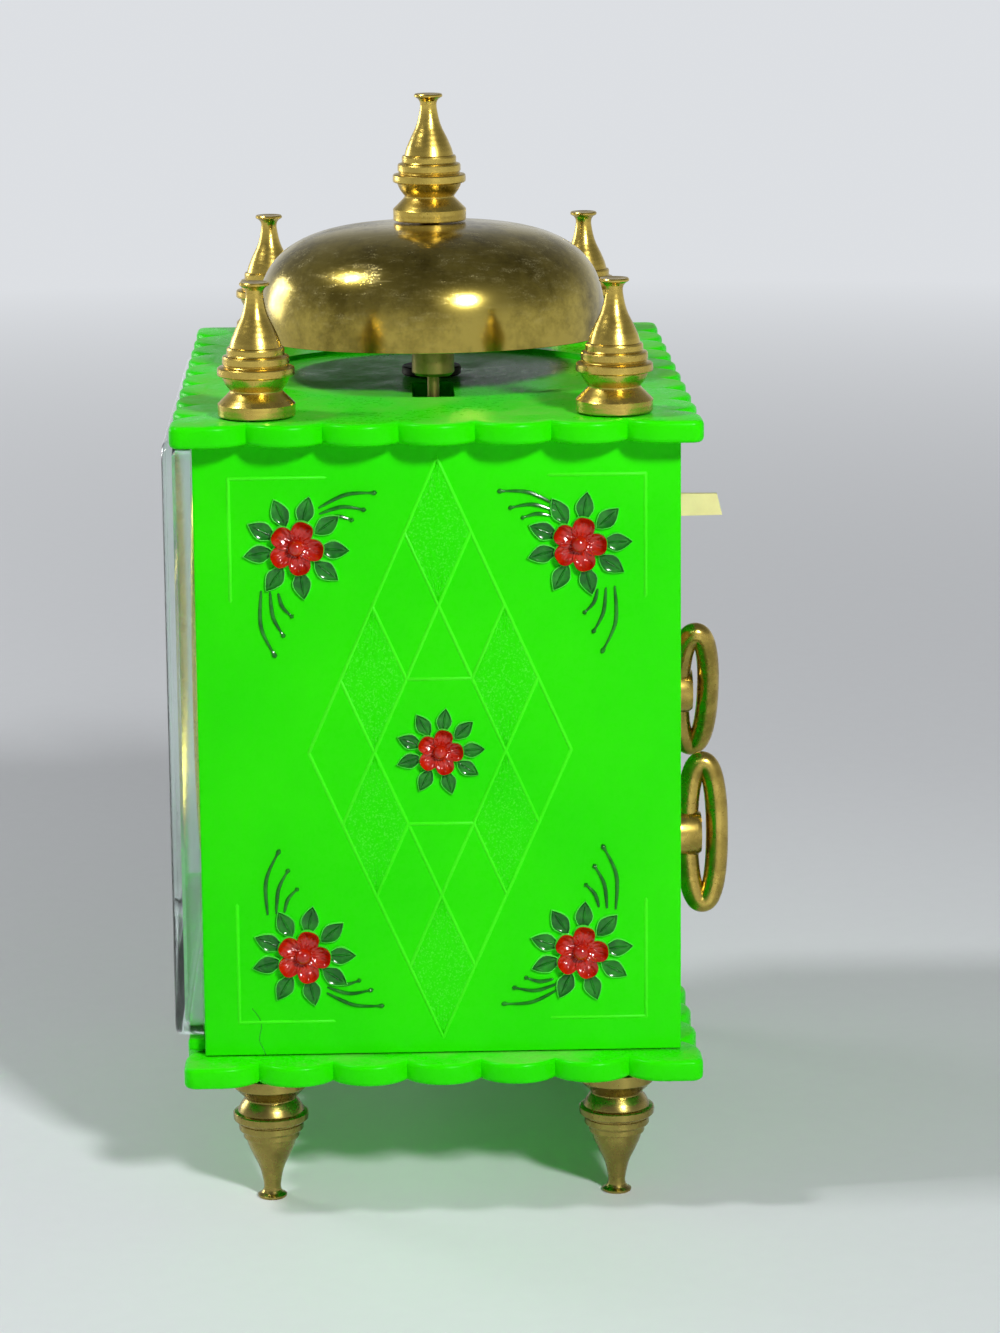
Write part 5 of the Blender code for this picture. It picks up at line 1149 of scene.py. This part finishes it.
@dataclass
class Turnings(Assembly):
    """The turned brass finials and feet."""

    sides: int = 72
    profile: tuple[Point, ...] = (
        (5.5, 0.0), (5.62, 0.12), (5.65, 1.72), (5.55, 1.86), (4.9, 2.5), (4.2, 3.2), (3.92, 3.5), (3.85, 3.65),
        (3.86, 3.8), (4.1, 4.1), (4.5, 4.65), (4.8, 5.25), (4.95, 5.7), (5.45, 5.85), (5.63, 6.0), (5.65, 6.45),
        (5.6, 6.95), (5.45, 7.1), (4.85, 7.25), (4.72, 7.4), (4.75, 7.55), (4.88, 7.65), (4.86, 8.5), (4.75, 8.7),
        (4.3, 8.85), (4.2, 9.0), (4.2, 9.7), (4.08, 9.95), (3.78, 10.05), (3.72, 10.3), (3.5, 11.1), (3.2, 11.8),
        (2.85, 12.6), (2.45, 13.4), (2.1, 14.1), (1.8, 14.9), (1.58, 15.7), (1.4, 16.6), (1.28, 17.4), (1.27, 17.9),
        (1.38, 18.3), (1.65, 18.65), (2.05, 18.88), (2.18, 18.98), (2.18, 19.2), (2.05, 19.4), (1.6, 19.33),
        (0.0, 19.22),
    )
    foot_profile_flat: float = 19.4
    crease: float = math.radians(22)

    def turning(self, upside_down: bool) -> Shape:
        """One turning that stands on its base, or on its tip."""
        points = [(0.0, 0.0)] + [(radius * MM, height * MM) for radius, height in self.profile]
        if upside_down:
            top = self.foot_profile_flat * MM
            points = [(radius, top - height) for radius, height in points[:-2]] + [(0.0, 0.0)]
        return lathe(points, self.sides)

    def build(self) -> None:
        """Makes all nine."""
        corners = [f"{end}_{side}" for end in ("front", "back") for side in ("right", "left")]
        for name in ("bell_finial", *(f"{kind}_{corner}" for kind in ("finial", "foot") for corner in corners)):
            low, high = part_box(name)
            middle = (low + high) / 2
            shape = self.turning(name.startswith("foot"))
            shape.moved(Matrix.Translation((middle.x, middle.y, low.z)))
            finish = self.finishes.feet if name.startswith("foot") else self.finishes.turned
            self.publish(
                f"turned_{name}", shape, finish, "case", [name], "brass_turned", centred=False, sharp=self.crease
            )


@dataclass
class BellWork(Assembly):
    """The bell, its post and the hammer."""

    curve: float = 3.1
    wall: float = 1.0 * MM
    tilt_front: float = math.radians(1.3)
    tilt_side: float = math.radians(0.2)
    steps: int = 30
    sides: int = 144
    hole_radius: float = 1.75 * MM
    post_radius: float = 1.5 * MM
    column_radius: float = 2.6 * MM
    flange_radius: float = 4.6 * MM
    flange_thickness: float = 1.4 * MM
    flange_sink: float = 0.55 * MM
    seat_gap: float = 0.25 * MM
    nut_radius: float = 4.2 * MM
    head_radius: float = 3.2 * MM
    head_height: float = 6.7 * MM
    rod_radius: float = 0.9 * MM
    pivot: float = 0.5 * MM
    staff: float = 0.8 * MM
    hub: float = 2.4 * MM
    hub_half: float = 2.0 * MM
    verge_front: float = -4.68 * MM
    verge_back: float = -3.88 * MM
    verge_hub: float = 1.5 * MM
    verge_arm: float = 4.2 * MM
    verge_half: float = 0.6 * MM
    verge_spread: float = math.radians(50)
    pin_radius: float = 0.5 * MM
    pin_back: float = -3.63 * MM

    def dome(self, radius: float, height: float) -> list[Point]:
        """The bell's curve, from its crown to its rim."""
        power = 2 / self.curve
        leans = (QUARTER * step / self.steps for step in range(self.steps + 1))
        return [(radius * math.sin(a) ** power, height * max(0.0, math.cos(a)) ** power) for a in leans]

    def make_bell(self) -> None:
        """The bell, leaning a little, with a flat rim chamfered at its edges."""
        low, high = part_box("bell")
        radius, height = (high.x - low.x) / 2, high.z - low.z
        outer = self.dome(radius, height)
        inner = self.dome(radius - self.wall, height - self.wall)
        outer[0] = (self.hole_radius, height)
        inner[0] = (self.hole_radius, height - self.wall)
        edge = 0.08 * MM
        rim = [(radius, edge), (radius - edge, 0.0), (radius - self.wall + edge, 0.0), (radius - self.wall, edge)]
        profile = outer[:-1] + rim + inner[::-1][1:]
        lean = Matrix.Rotation(-self.tilt_front, 4, "Y") @ Matrix.Rotation(self.tilt_side, 4, "X")
        seat = shift(0.0, height)
        shape = lathe(profile, self.sides).moved(shift(0.0, low.z) @ seat @ lean @ seat.inverted())
        self.publish("bell_dome", shape, self.finishes.bell, "case", ["bell"], "bell_brass")

    def make_post(self) -> None:
        """The post that carries the bell, with its flange and nut."""
        low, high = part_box("bell_post")
        plate_low, plate_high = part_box("top_plate")
        flange = plate_high.z - self.flange_sink
        seat = flange + self.flange_thickness
        nut_top = plate_low.z - self.seat_gap
        column_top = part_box("bell")[1].z - self.wall - self.seat_gap
        soft = 0.2 * MM
        profile = [
            (0.0, low.z), *barrel(self.nut_radius, low.z, nut_top, soft), (self.post_radius, nut_top),
            (self.post_radius, flange), *barrel(self.flange_radius, flange, seat, soft),
            (self.column_radius + soft, seat), *barrel(self.column_radius, seat, column_top, soft)[1:],
            (self.post_radius, column_top), *barrel(self.post_radius, column_top, high.z, soft)[2:], (0.0, high.z),
        ]
        # The post's near-black steel is painted shade under the bell.
        self.publish(
            "bell_post_turned", lathe(profile, 48), self.finishes.dark_steel, "case", ["bell_post"], "steel"
        )

    def verge(self, towards: float) -> Shape:
        """The verge round the hammer's arbor: a hub, and two arms with pins astride a direction."""
        shape = prism(circle(self.verge_hub, 24), self.verge_front, self.verge_back, Axis.Y)
        inset = 0.05 * MM
        for side in (-1, 1):
            angle = towards + side * self.verge_spread
            across = polar(self.verge_half, angle + QUARTER)
            tip = polar(self.verge_arm, angle)
            corners = (((0.0, 0.0), -1), (tip, -1), (tip, 1), ((0.0, 0.0), 1))
            arm = [(x + way * across[0], z + way * across[1]) for (x, z), way in corners]
            shape.add(prism(arm, self.verge_front + inset, self.verge_back - inset, Axis.Y))
            pin = circle(self.pin_radius, 16, polar(self.verge_arm - self.verge_half, angle))
            shape.add(prism(pin, self.verge_front + 2 * inset, self.pin_back, Axis.Y))
        return shape

    def make_hammer(self) -> None:
        """The hammer: arbor, hub, verge, rod and a turned head."""
        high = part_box("hammer")[1]
        arbor_x, arbor_z = joint_place("hammer_swing")
        head_top = high.z
        head_low = head_top - self.head_height
        lean = high.x - self.head_radius
        soft = 0.5 * MM
        profile = ((0.0, head_low), *barrel(self.head_radius, head_low, head_top, soft), (0.0, head_top))
        shape = lathe(profile, 40).moved(shift(lean, 0.0))
        rod = [Vector((arbor_x, 0.0, arbor_z + 2.0 * MM)), Vector((lean, 0.0, head_low + 0.5 * MM))]
        shape.add(sweep(rod, [self.rod_radius] * 2, 20))
        spin = shift(arbor_x, arbor_z)
        front, back = self.depth("hammer")
        pivot, staff, hub, half = self.pivot, self.staff, self.hub, self.hub_half
        arbor = (
            (0.0, front), (pivot, front), (pivot, front + MM), (staff, front + MM), (staff, -half), (hub, -half),
            (hub, half), (staff, half), (staff, back - MM), (pivot, back - MM), (pivot, back), (0.0, back),
        )
        shape.add(lathe(arbor, 24, Axis.Y), spin)
        escape_x, escape_z = joint_place("alarm_escape_turn")
        shape.add(self.verge(math.atan2(escape_z - arbor_z, escape_x - arbor_x)), spin)
        # The hammer's darkened brass is painted shade under the bell.
        self.publish("hammer_turned", shape, self.finishes.dull, "striker", ["hammer"], "movement_brass")

    def build(self) -> None:
        """Makes all of it."""
        self.make_bell()
        self.make_post()
        self.make_hammer()


@dataclass
class Front(Assembly):
    """The front frame, the dial with its numbers, the bezel, the clear box and the hands."""

    opening_radius: float = 34.0 * MM
    sill_height: float = 1.8 * MM
    sill_reach: float = 2.5 * MM
    bezel_width: float = 2.6 * MM
    bezel_depth: float = 1.0 * MM
    bezel_lip: float = 1.0 * MM
    print_height: float = 0.02 * MM
    number_size: float = 7.6 * MM
    number_radius: float = 25.4 * MM
    track_radius: float = 31.2 * MM
    alarm_radius: float = 12.0 * MM
    ring_half: float = 0.12 * MM
    clear_wall: float = 1.5 * MM
    clear_corner: float = 3.0 * MM
    clear_edge: float = 1.0 * MM

    def __post_init__(self) -> None:
        """Finds the dial's middle."""
        self.centre = joint_place("hand_setting")

    def make_frame(self) -> None:
        """The green frame round the dial, with the sill under the clear box."""
        low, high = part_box("front_frame")
        front, back = self.depth("front_frame")
        face = front + self.sill_reach
        opening = circle(self.opening_radius, 128, self.centre)
        outline = rounded_box((low.x, low.z), (high.x, high.z), 0.3 * MM, 3)
        shape = prism(outline, face, back, Axis.Y, [opening])
        sill = rounded_box((low.x, low.z), (high.x, low.z + self.sill_height), 0.5 * MM, 5)
        shape.add(prism(sill, front, face + 0.3 * MM, Axis.Y).eased(0.2 * MM))
        self.publish("frame_moulding", shape, self.finishes.panel, "case", ["front_frame"], "green_plastic")

    def make_bezel(self) -> None:
        """The brass ring round the dial, with a bead and a bevel."""
        _, back = self.depth("dial_bezel")
        outer = self.opening_radius + self.bezel_width
        front = back - self.bezel_depth
        profile = [
            (self.opening_radius - self.bezel_lip, back), (outer, back), (outer, back - 0.2 * MM),
            (outer - 0.25 * MM, back - 0.4 * MM), (outer - 0.7 * MM, back - 0.45 * MM),
            (outer - 1.0 * MM, front + 0.12 * MM), (outer - 1.3 * MM, front), (outer - 1.8 * MM, front),
            (self.opening_radius, front + 0.15 * MM), (self.opening_radius - 0.3 * MM, front + 0.35 * MM),
        ]
        shape = lathe(profile, 160, Axis.Y).moved(shift(*self.centre))
        self.publish("bezel_ring", shape, self.finishes.turned, "case", ["dial_bezel"], "brass_turned")

    def make_dial(self) -> None:
        """The dial card with printed numbers and a minute track."""
        low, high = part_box("dial")
        front, back = self.depth("dial")
        corners = packed()["nodes"]["dial"].data.vertices
        bore = min(math.hypot(v.co.x - self.centre[0], v.co.z - self.centre[1]) for v in corners)
        hole = circle(bore, 40, self.centre)
        card = prism(rectangle((low.x, low.z), (high.x, high.z)), front, back, Axis.Y, [hole])
        self.publish("dial_card", card, self.finishes.card, "case", ["dial"], "dial_face")
        ink = Shape()
        printed = (front - self.print_height, front + self.print_height, Axis.Y)
        for minute in range(60):
            angle = TAU * minute / 60
            major = minute % 5 == 0
            inner = self.track_radius - (2.2 * MM if major else 1.2 * MM)
            half = 0.45 * MM if major else 0.14 * MM
            mark = turned(rectangle((inner, -half), (self.track_radius, half)), angle, self.centre)
            ink.add(prism(mark, *printed))
        for radius in (self.track_radius, self.alarm_radius):
            ring, inside = (circle(radius + half, 128, self.centre) for half in (self.ring_half, -self.ring_half))
            ink.add(prism(ring, *printed, [inside]))
        for hour in range(1, 13):
            angle = QUARTER - TAU * hour / 12
            x, z = polar(self.number_radius, angle, self.centre)
            ink.add(self.number(str(hour)), Matrix.Translation((x, front, z)))
        self.publish("dial_print", ink, self.finishes.ink, "case", (), "dial_face")

    def number(self, text: str) -> Shape:
        """One printed number, centred, facing the front."""
        curve = bpy.data.curves.new("number", "FONT")
        curve.body = text
        curve.size = self.number_size
        curve.align_x = curve.align_y = "CENTER"
        curve.extrude = self.print_height
        curve.resolution_u = 6
        mesh = bpy.data.meshes.new_from_object(bpy.data.objects.new("number", curve))
        shape = Shape()
        shape.bm.from_mesh(mesh)
        bpy.data.curves.remove(curve)
        bpy.data.meshes.remove(mesh)
        return shape.moved(Matrix.Rotation(QUARTER, 4, "X"))

    def make_crystal(self) -> None:
        """The clear box over the dial, with rounded corners and edges."""
        low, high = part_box("crystal")
        front, back = self.depth("crystal")
        wall, corner, edge = self.clear_wall, self.clear_corner, self.clear_edge

        def ring(inset: float) -> list[Point]:
            """The box's outline, moved in by an inset."""
            radius = max(corner - inset, 0.5 * MM)
            return rounded_box((low.x + inset, low.z + inset), (high.x - inset, high.z - inset), radius, 10)

        soft = [
            (edge * (1 - math.cos(lean)), front + edge * (1 - math.sin(lean)))
            for lean in (QUARTER * step / 6 for step in range(7))
        ]
        face = front + wall
        insets = [(wall + edge * 0.5, face), (wall, face + edge * 0.5), (wall, back), (0.0, back), *soft]
        shape = skin([(ring(inset), height) for inset, height in insets], Axis.Y)
        self.publish("crystal_box", shape, self.finishes.clear, "case", ["crystal"], "clear_plastic")

    def make_hand(self, node: str, body: str, hub: float, hole: float, lume: bool) -> None:
        """A leaf-shaped hand with eased edges, and luminous paint where it has any."""
        middle = Vector((self.centre[0], 0.0, self.centre[1]))
        mesh = packed()["nodes"][node].data
        tip = max((v.co for v in mesh.vertices), key=lambda co: (Vector((co.x, 0.0, co.z)) - middle).length)
        length = math.hypot(tip.x - middle.x, tip.z - middle.z)
        angle = math.atan2(tip.z - middle.z, tip.x - middle.x)
        front, back = self.depth(node)
        widths = ((0.0, 0.9), (0.3, 0.95), (0.5, 1.3), (0.66, 2.9), (0.76, 3.3), (0.86, 2.2), (0.96, 0.7), (1.0, 0.15))
        line = curve_through([Vector((share * length, wide * MM / 2, 0.0)) for share, wide in widths], 5)
        side = [(point.x, max(point.y, 0.05 * MM)) for point in line]
        opening = math.asin(0.45 * MM / hub)
        outline = arc(hub, (0.0, 0.0), opening, TAU - opening, 48)
        blade = [(x, y) for x, y in side if x > hub * math.cos(opening)]
        outline = outline + [(x, -y) for x, y in blade] + [(x, y) for x, y in reversed(blade)]
        turn = Matrix.Translation(middle) @ Matrix.Rotation(-angle, 4, "Y")
        shape = prism(outline, front, back, Axis.Y, [circle(hole, 40)]).eased(0.06 * MM, 1)
        self.publish(f"{node}_leaf", shape.moved(turn), self.finishes.black, body, [node], "hand_black")
        if lume:
            inner = [(x, y * 0.6) for x, y in blade if 0.56 < x / length < 0.93]
            loop = [(x, -y) for x, y in inner] + [(x, y) for x, y in reversed(inner)]
            fill = prism(loop, front - 0.03 * MM, front + 0.05 * MM, Axis.Y)
            self.publish(f"{node}_lume", fill.moved(turn), self.finishes.lume, body)

    def build(self) -> None:
        """Makes the whole front."""
        self.make_frame()
        self.make_bezel()
        self.make_dial()
        self.make_crystal()
        self.make_hand("minute_hand", "hand_setter", 2.75 * MM, 1.55 * MM, True)
        self.make_hand("hour_hand", "hour_hand_pipe", 3.5 * MM, 2.3 * MM, True)
        self.make_hand("alarm_hand", "alarm_hand_pipe", 4.25 * MM, 3.05 * MM, False)


@dataclass
class Back(Assembly):
    """The winding keys, the knobs, the screws and the moulded marks of the back cover."""

    key_length: float = 25.8 * MM
    key_width: float = 8.2 * MM
    wire_radius: float = 1.75 * MM
    boss_radius: float = 3.75 * MM
    curve: float = 2.3
    key_front: float = 33.3 * MM
    knob_radius: float = 4.72 * MM
    knob_ribs: int = 20
    arrow_radius: float = 9.6 * MM
    arrow_start: float = math.radians(150)
    arrow_end: float = math.radians(205)
    arrow_head: float = 0.22
    arrow_half: float = 1.1 * MM

    def ring_line(self, turn: float, centre: float) -> list[Vector]:
        """The middle of a key's oval ring, round its axis."""
        half_length = self.key_length / 2 - self.wire_radius
        half_width = self.key_width / 2 - self.wire_radius
        power = 2 / self.curve
        line = []
        for step in range(96):
            angle = TAU * (step + 0.5) / 96
            out = half_length * math.copysign(abs(math.cos(angle)) ** power, math.cos(angle))
            back_by = half_width * math.copysign(abs(math.sin(angle)) ** power, math.sin(angle))
            x, z = polar(out, turn)
            line.append(Vector((x, centre + back_by, z)))
        return line

    def make_key(self, node: str, body: str, joint: str, turn: float) -> None:
        """A key: an oval ring of round wire on a turned boss."""
        x, z = joint_place(joint)
        centre = self.depth(node)[1] - self.key_width / 2
        line = self.ring_line(turn, centre)
        shape = sweep(line, [self.wire_radius] * len(line), 24, closed=True)
        front, soft, radius = self.key_front, 0.3 * MM, self.boss_radius
        bore, deep, neck = 1.85 * MM, front + 3.0 * MM, radius - 0.35 * MM
        profile = (
            (0.0, deep), (bore, deep), (bore, front), (radius - soft, front), (radius, front + soft),
            (radius, front + 1.1 * MM), (neck, front + 1.35 * MM), (neck, front + 1.75 * MM),
            (radius, front + 2.0 * MM), (radius - 0.1 * MM, centre - 0.9 * MM),
            (radius - 0.6 * MM, centre - 0.2 * MM), (0.0, centre),
        )
        shape.add(lathe(profile, 48, Axis.Y))
        shape.moved(shift(x, z))
        self.publish(f"{node}_ring", shape, self.finishes.key, body, [node], "key_brass")

    def make_knob(self, name: str, body: str, joint: str) -> None:
        """A ribbed knob, drawn over the plain one on its arbor."""
        x, z = joint_place(joint)
        front = self.depth("back_cover")[1] + 0.2 * MM
        end = front + 3.05 * MM
        outline = []
        for rib in range(self.knob_ribs):
            for step, share in enumerate((1.0, 0.985, 0.93, 0.985)):
                outline.append(polar(self.knob_radius * share, TAU * (rib + step / 4) / self.knob_ribs))
        soft = 0.35 * MM
        scale = (self.knob_radius - soft) / self.knob_radius
        small = [(a * scale, b * scale) for a, b in outline]
        dish = [(a * 0.62, b * 0.62) for a, b in outline]
        shape = skin(
            ((small, front), (outline, front + soft), (outline, end - soft), (small, end), (dish, end - 0.25 * MM)),
            Axis.Y,
        )
        shape.moved(shift(x, z))
        self.publish(name, shape, self.finishes.key, body, (), "key_brass")

    def make_screw(self, node: str) -> None:
        """A slotted cheese-headed screw."""
        low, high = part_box(node)
        middle = (low + high) / 2
        head, radius, soft = 1.2 * MM, 2.1 * MM, 0.25 * MM
        start, _ = self.depth(node)
        seat = high.y - head - self.plan_y
        profile = (
            (0.0, seat + head), (radius - soft, seat + head), (radius, seat + head - soft), (radius, seat),
            (0.9 * MM, seat), (0.9 * MM, start), (0.0, start),
        )
        shape = lathe(profile, 40, Axis.Y)
        slot = rectangle((-3 * MM, -0.3 * MM), (3 * MM, 0.3 * MM))
        turn = Matrix.Rotation(math.radians(17 + 40 * int(node[-1])), 4, "Y")
        shape.cut_by(prism(slot, seat + 0.6 * MM, seat + 2 * head, Axis.Y).moved(turn))
        shape.moved(shift(middle.x, middle.z))
        self.publish(f"{node}_slotted", shape, self.finishes.steel, "case", [node], "steel")

    def make_marks(self) -> None:
        """Raised rims round the arbors and arrows that show which way to turn."""
        _, face = self.depth("back_cover")
        low, high, radius = face - 0.1 * MM, face + 0.3 * MM, self.arrow_radius
        line = [Vector((x, face, z)) for x, z in arc(radius, (0.0, 0.0), self.arrow_start, self.arrow_end, 16)]
        head = (
            polar(radius, self.arrow_end + self.arrow_head),
            polar(radius - self.arrow_half, self.arrow_end),
            polar(radius + self.arrow_half, self.arrow_end),
        )
        shape = Shape()
        for joint in ("time_winding", "alarm_winding"):
            spot = shift(*joint_place(joint))
            shape.add(lathe(rectangle((2.4 * MM, low), (3.4 * MM, high)), 48, Axis.Y), spot)
            shape.add(sweep(line, [0.3 * MM] * len(line), 8), spot)
            shape.add(prism(head, low, high, Axis.Y), spot)
        self.publish("cover_marks", shape, self.finishes.panel, "case", (), "green_plastic")

    def build(self) -> None:
        """Makes the back's pieces."""
        self.make_key("time_key", "time_winder", "time_winding", math.radians(65))
        self.make_key("alarm_key", "alarm_winder", "alarm_winding", math.radians(92))
        self.make_knob("hand_knob", "hand_setter", "hand_setting")
        self.make_knob("alarm_knob", "alarm_setter", "alarm_setting")
        for node in ("cover_screw_1", "cover_screw_2", "movement_screw_1", "movement_screw_2", "movement_screw_3"):
            self.make_screw(node)
        self.make_marks()


@dataclass
class Movement(Assembly):
    """The CAD nodes that keep their shape: plates, wheels, arbors, springs and levers."""

    def build(self) -> None:
        """Gives each of them its finish."""
        finishes = self.finishes
        kept = (
            (
                finishes.movement,
                "movement_front_plate movement_back_plate great_wheel centre_wheel third_wheel fourth_wheel "
                "escape_wheel balance_wheel alarm_great_wheel alarm_escape_wheel minute_wheel hour_wheel alarm_wheel",
            ),
            (
                finishes.steel,
                "tie_rod_front_right tie_rod_front_left tie_rod_back_right tie_rod_back_left time_arbor alarm_arbor "
                "time_click alarm_click pallet_lever centre_arbor alarm_set_arbor regulator",
            ),
            (finishes.spring, "time_mainspring alarm_mainspring hairspring"),
        )
        for finish, names in kept:
            for node in names.split():
                self.dress(node, finish)
        self.dress("alarm_stop_lever", finishes.tab, 0.12 * MM)
        self.dress("back_cover", finishes.panel, 0.2 * MM)


# ---- the studio


@dataclass
class Studio:
    """Camera, lamps, pale floor and world."""

    camera_place: Triple = (0.66611, -0.010965, 0.21316)
    yaw: float = math.radians(-1.579)
    pitch: float = math.radians(12.009)
    roll: float = math.radians(-0.501)
    focal_pixels: float = 4308.5
    long_side_pixels: float = 1333.0
    sensor: float = 36.0
    nearest: float = 0.01
    lamp_aim: Triple = (0.0, 0.0, 0.08)
    lamps: tuple[tuple[str, Triple, float, float], ...] = (
        ("left_lamp", (0.09, -0.60, 0.86), 0.12, 4.0),
        ("right_lamp", (0.80, 0.36, 0.60), 0.12, 8.6),
        ("fill_lamp", (-0.50, -0.70, 0.25), 0.3, 2.2),
    )
    floor_colour: Colour = (0.72, 0.74, 0.77)
    backdrop_colour: Colour = (0.72, 0.74, 0.77)
    floor_half: float = 6.0
    floor_steps: int = 8
    fade_start: float = 0.25
    fade_end: float = 1.1
    room_light: float = 0.09
    sky: tuple[Point, ...] = ((0.0, 1.0), (0.1, 0.95), (0.36, 0.42), (0.8, 0.22))

    def make_camera(self) -> None:
        """A camera at the photograph's place."""
        data = bpy.data.cameras.new("camera")
        data.sensor_width = self.sensor
        data.lens = self.focal_pixels / self.long_side_pixels * self.sensor
        data.clip_start = self.nearest
        level = -math.cos(self.pitch)
        ahead = Vector((level * math.cos(self.yaw), level * math.sin(self.yaw), -math.sin(self.pitch)))
        right = ahead.cross(Vector((0.0, 0.0, 1.0))).normalized()
        up = right.cross(ahead)
        rolled = right * math.cos(self.roll) + up * math.sin(self.roll)
        lifted = up * math.cos(self.roll) - right * math.sin(self.roll)
        camera = link("camera", data)
        turn = Matrix((rolled, lifted, -ahead)).transposed().to_4x4()
        camera.matrix_world = Matrix.Translation(self.camera_place) @ turn
        bpy.context.scene.camera = camera

    def lamp(self, name: str, place: Triple, size: float, power: float) -> None:
        """A square soft lamp that faces the clock."""
        data = bpy.data.lights.new(name, "AREA")
        data.size = size
        data.energy = power
        lamp = link(name, data)
        lamp.location = place
        lamp.rotation_euler = (Vector(self.lamp_aim) - Vector(place)).to_track_quat("-Z", "Y").to_euler()

    def make_world(self) -> None:
        """A pale room for what is seen or mirrored, and a plain soft light for the rest."""
        world = bpy.data.worlds.new("room")
        bpy.context.scene.world = world
        world.use_nodes = True
        world.node_tree.nodes.clear()
        graph = Nodes(world.node_tree)
        where = graph.node("ShaderNodeTexCoord").outputs["Generated"]
        height = graph.node("ShaderNodeSeparateXYZ", {0: where}).outputs["Z"]
        tones = [(place, tuple(share * part for part in self.backdrop_colour)) for place, share in self.sky]
        seen = graph.node("ShaderNodeBackground", {"Color": graph.ramp(height, tones)}).outputs[0]
        light = graph.node("ShaderNodeBackground", {"Color": WHITE, "Strength": self.room_light}).outputs[0]
        both = graph.node("ShaderNodeMixShader", {0: graph.seen_share(), 1: light, 2: seen}).outputs[0]
        graph.node("ShaderNodeOutputWorld", {0: both})

    def make_floor(self) -> None:
        """A wide pale floor that keeps the shadow near the clock and fades into the backdrop's tone."""
        shape = Shape()
        marks = [self.floor_half * (2 * step / self.floor_steps - 1) for step in range(self.floor_steps + 1)]
        shape.bands([shape.ring([Vector((x, y, 0.0)) for x in marks]) for y in marks], wrap=False)
        graph = Graph("floor_paper")
        grain = graph.noise(300.0, 3.0)
        tone = graph.ramp(grain, ((0.3, self.floor_colour), (0.7, tuple(c * 0.985 for c in self.floor_colour))))
        graph.finish(Base_Color=tone, Roughness=0.55, Normal=graph.bump(grain, 0.02 * MM, 0.2))
        away = graph.node("ShaderNodeVectorMath", {0: graph.coordinates}, operation="LENGTH").outputs["Value"]
        far = graph.span(away, self.fade_start, self.fade_end)
        glow = graph.node("ShaderNodeEmission", {"Color": self.backdrop_colour, "Strength": 1.0}).outputs[0]
        share = graph.times(far, graph.seen_share())
        both = graph.node("ShaderNodeMixShader", {0: share, 1: graph.shader.outputs[0], 2: glow}).outputs[0]
        graph.feed(graph.tree.nodes["Material Output"].inputs[0], both)
        mesh = shape.mesh("floor")
        mesh.materials.append(graph.material)
        link("floor", mesh)

    def build(self) -> None:
        """Sets up the whole studio."""
        bpy.context.scene.view_settings.view_transform = "Standard"
        self.make_camera()
        self.make_world()
        self.make_floor()
        for name, place, size, power in self.lamps:
            self.lamp(name, place, size, power)


def main() -> None:
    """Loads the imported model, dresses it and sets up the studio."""
    logging.basicConfig(level=logging.INFO, format="%(name)s %(message)s")
    packed()
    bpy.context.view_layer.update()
    finishes = Finishes()
    for assembly in (Plates, Panels, Ornament, Turnings, BellWork, Front, Back, Movement):
        assembly(finishes).build()
    Studio().build()
    bpy.context.view_layer.update()


if __name__ == "__main__":
    main()
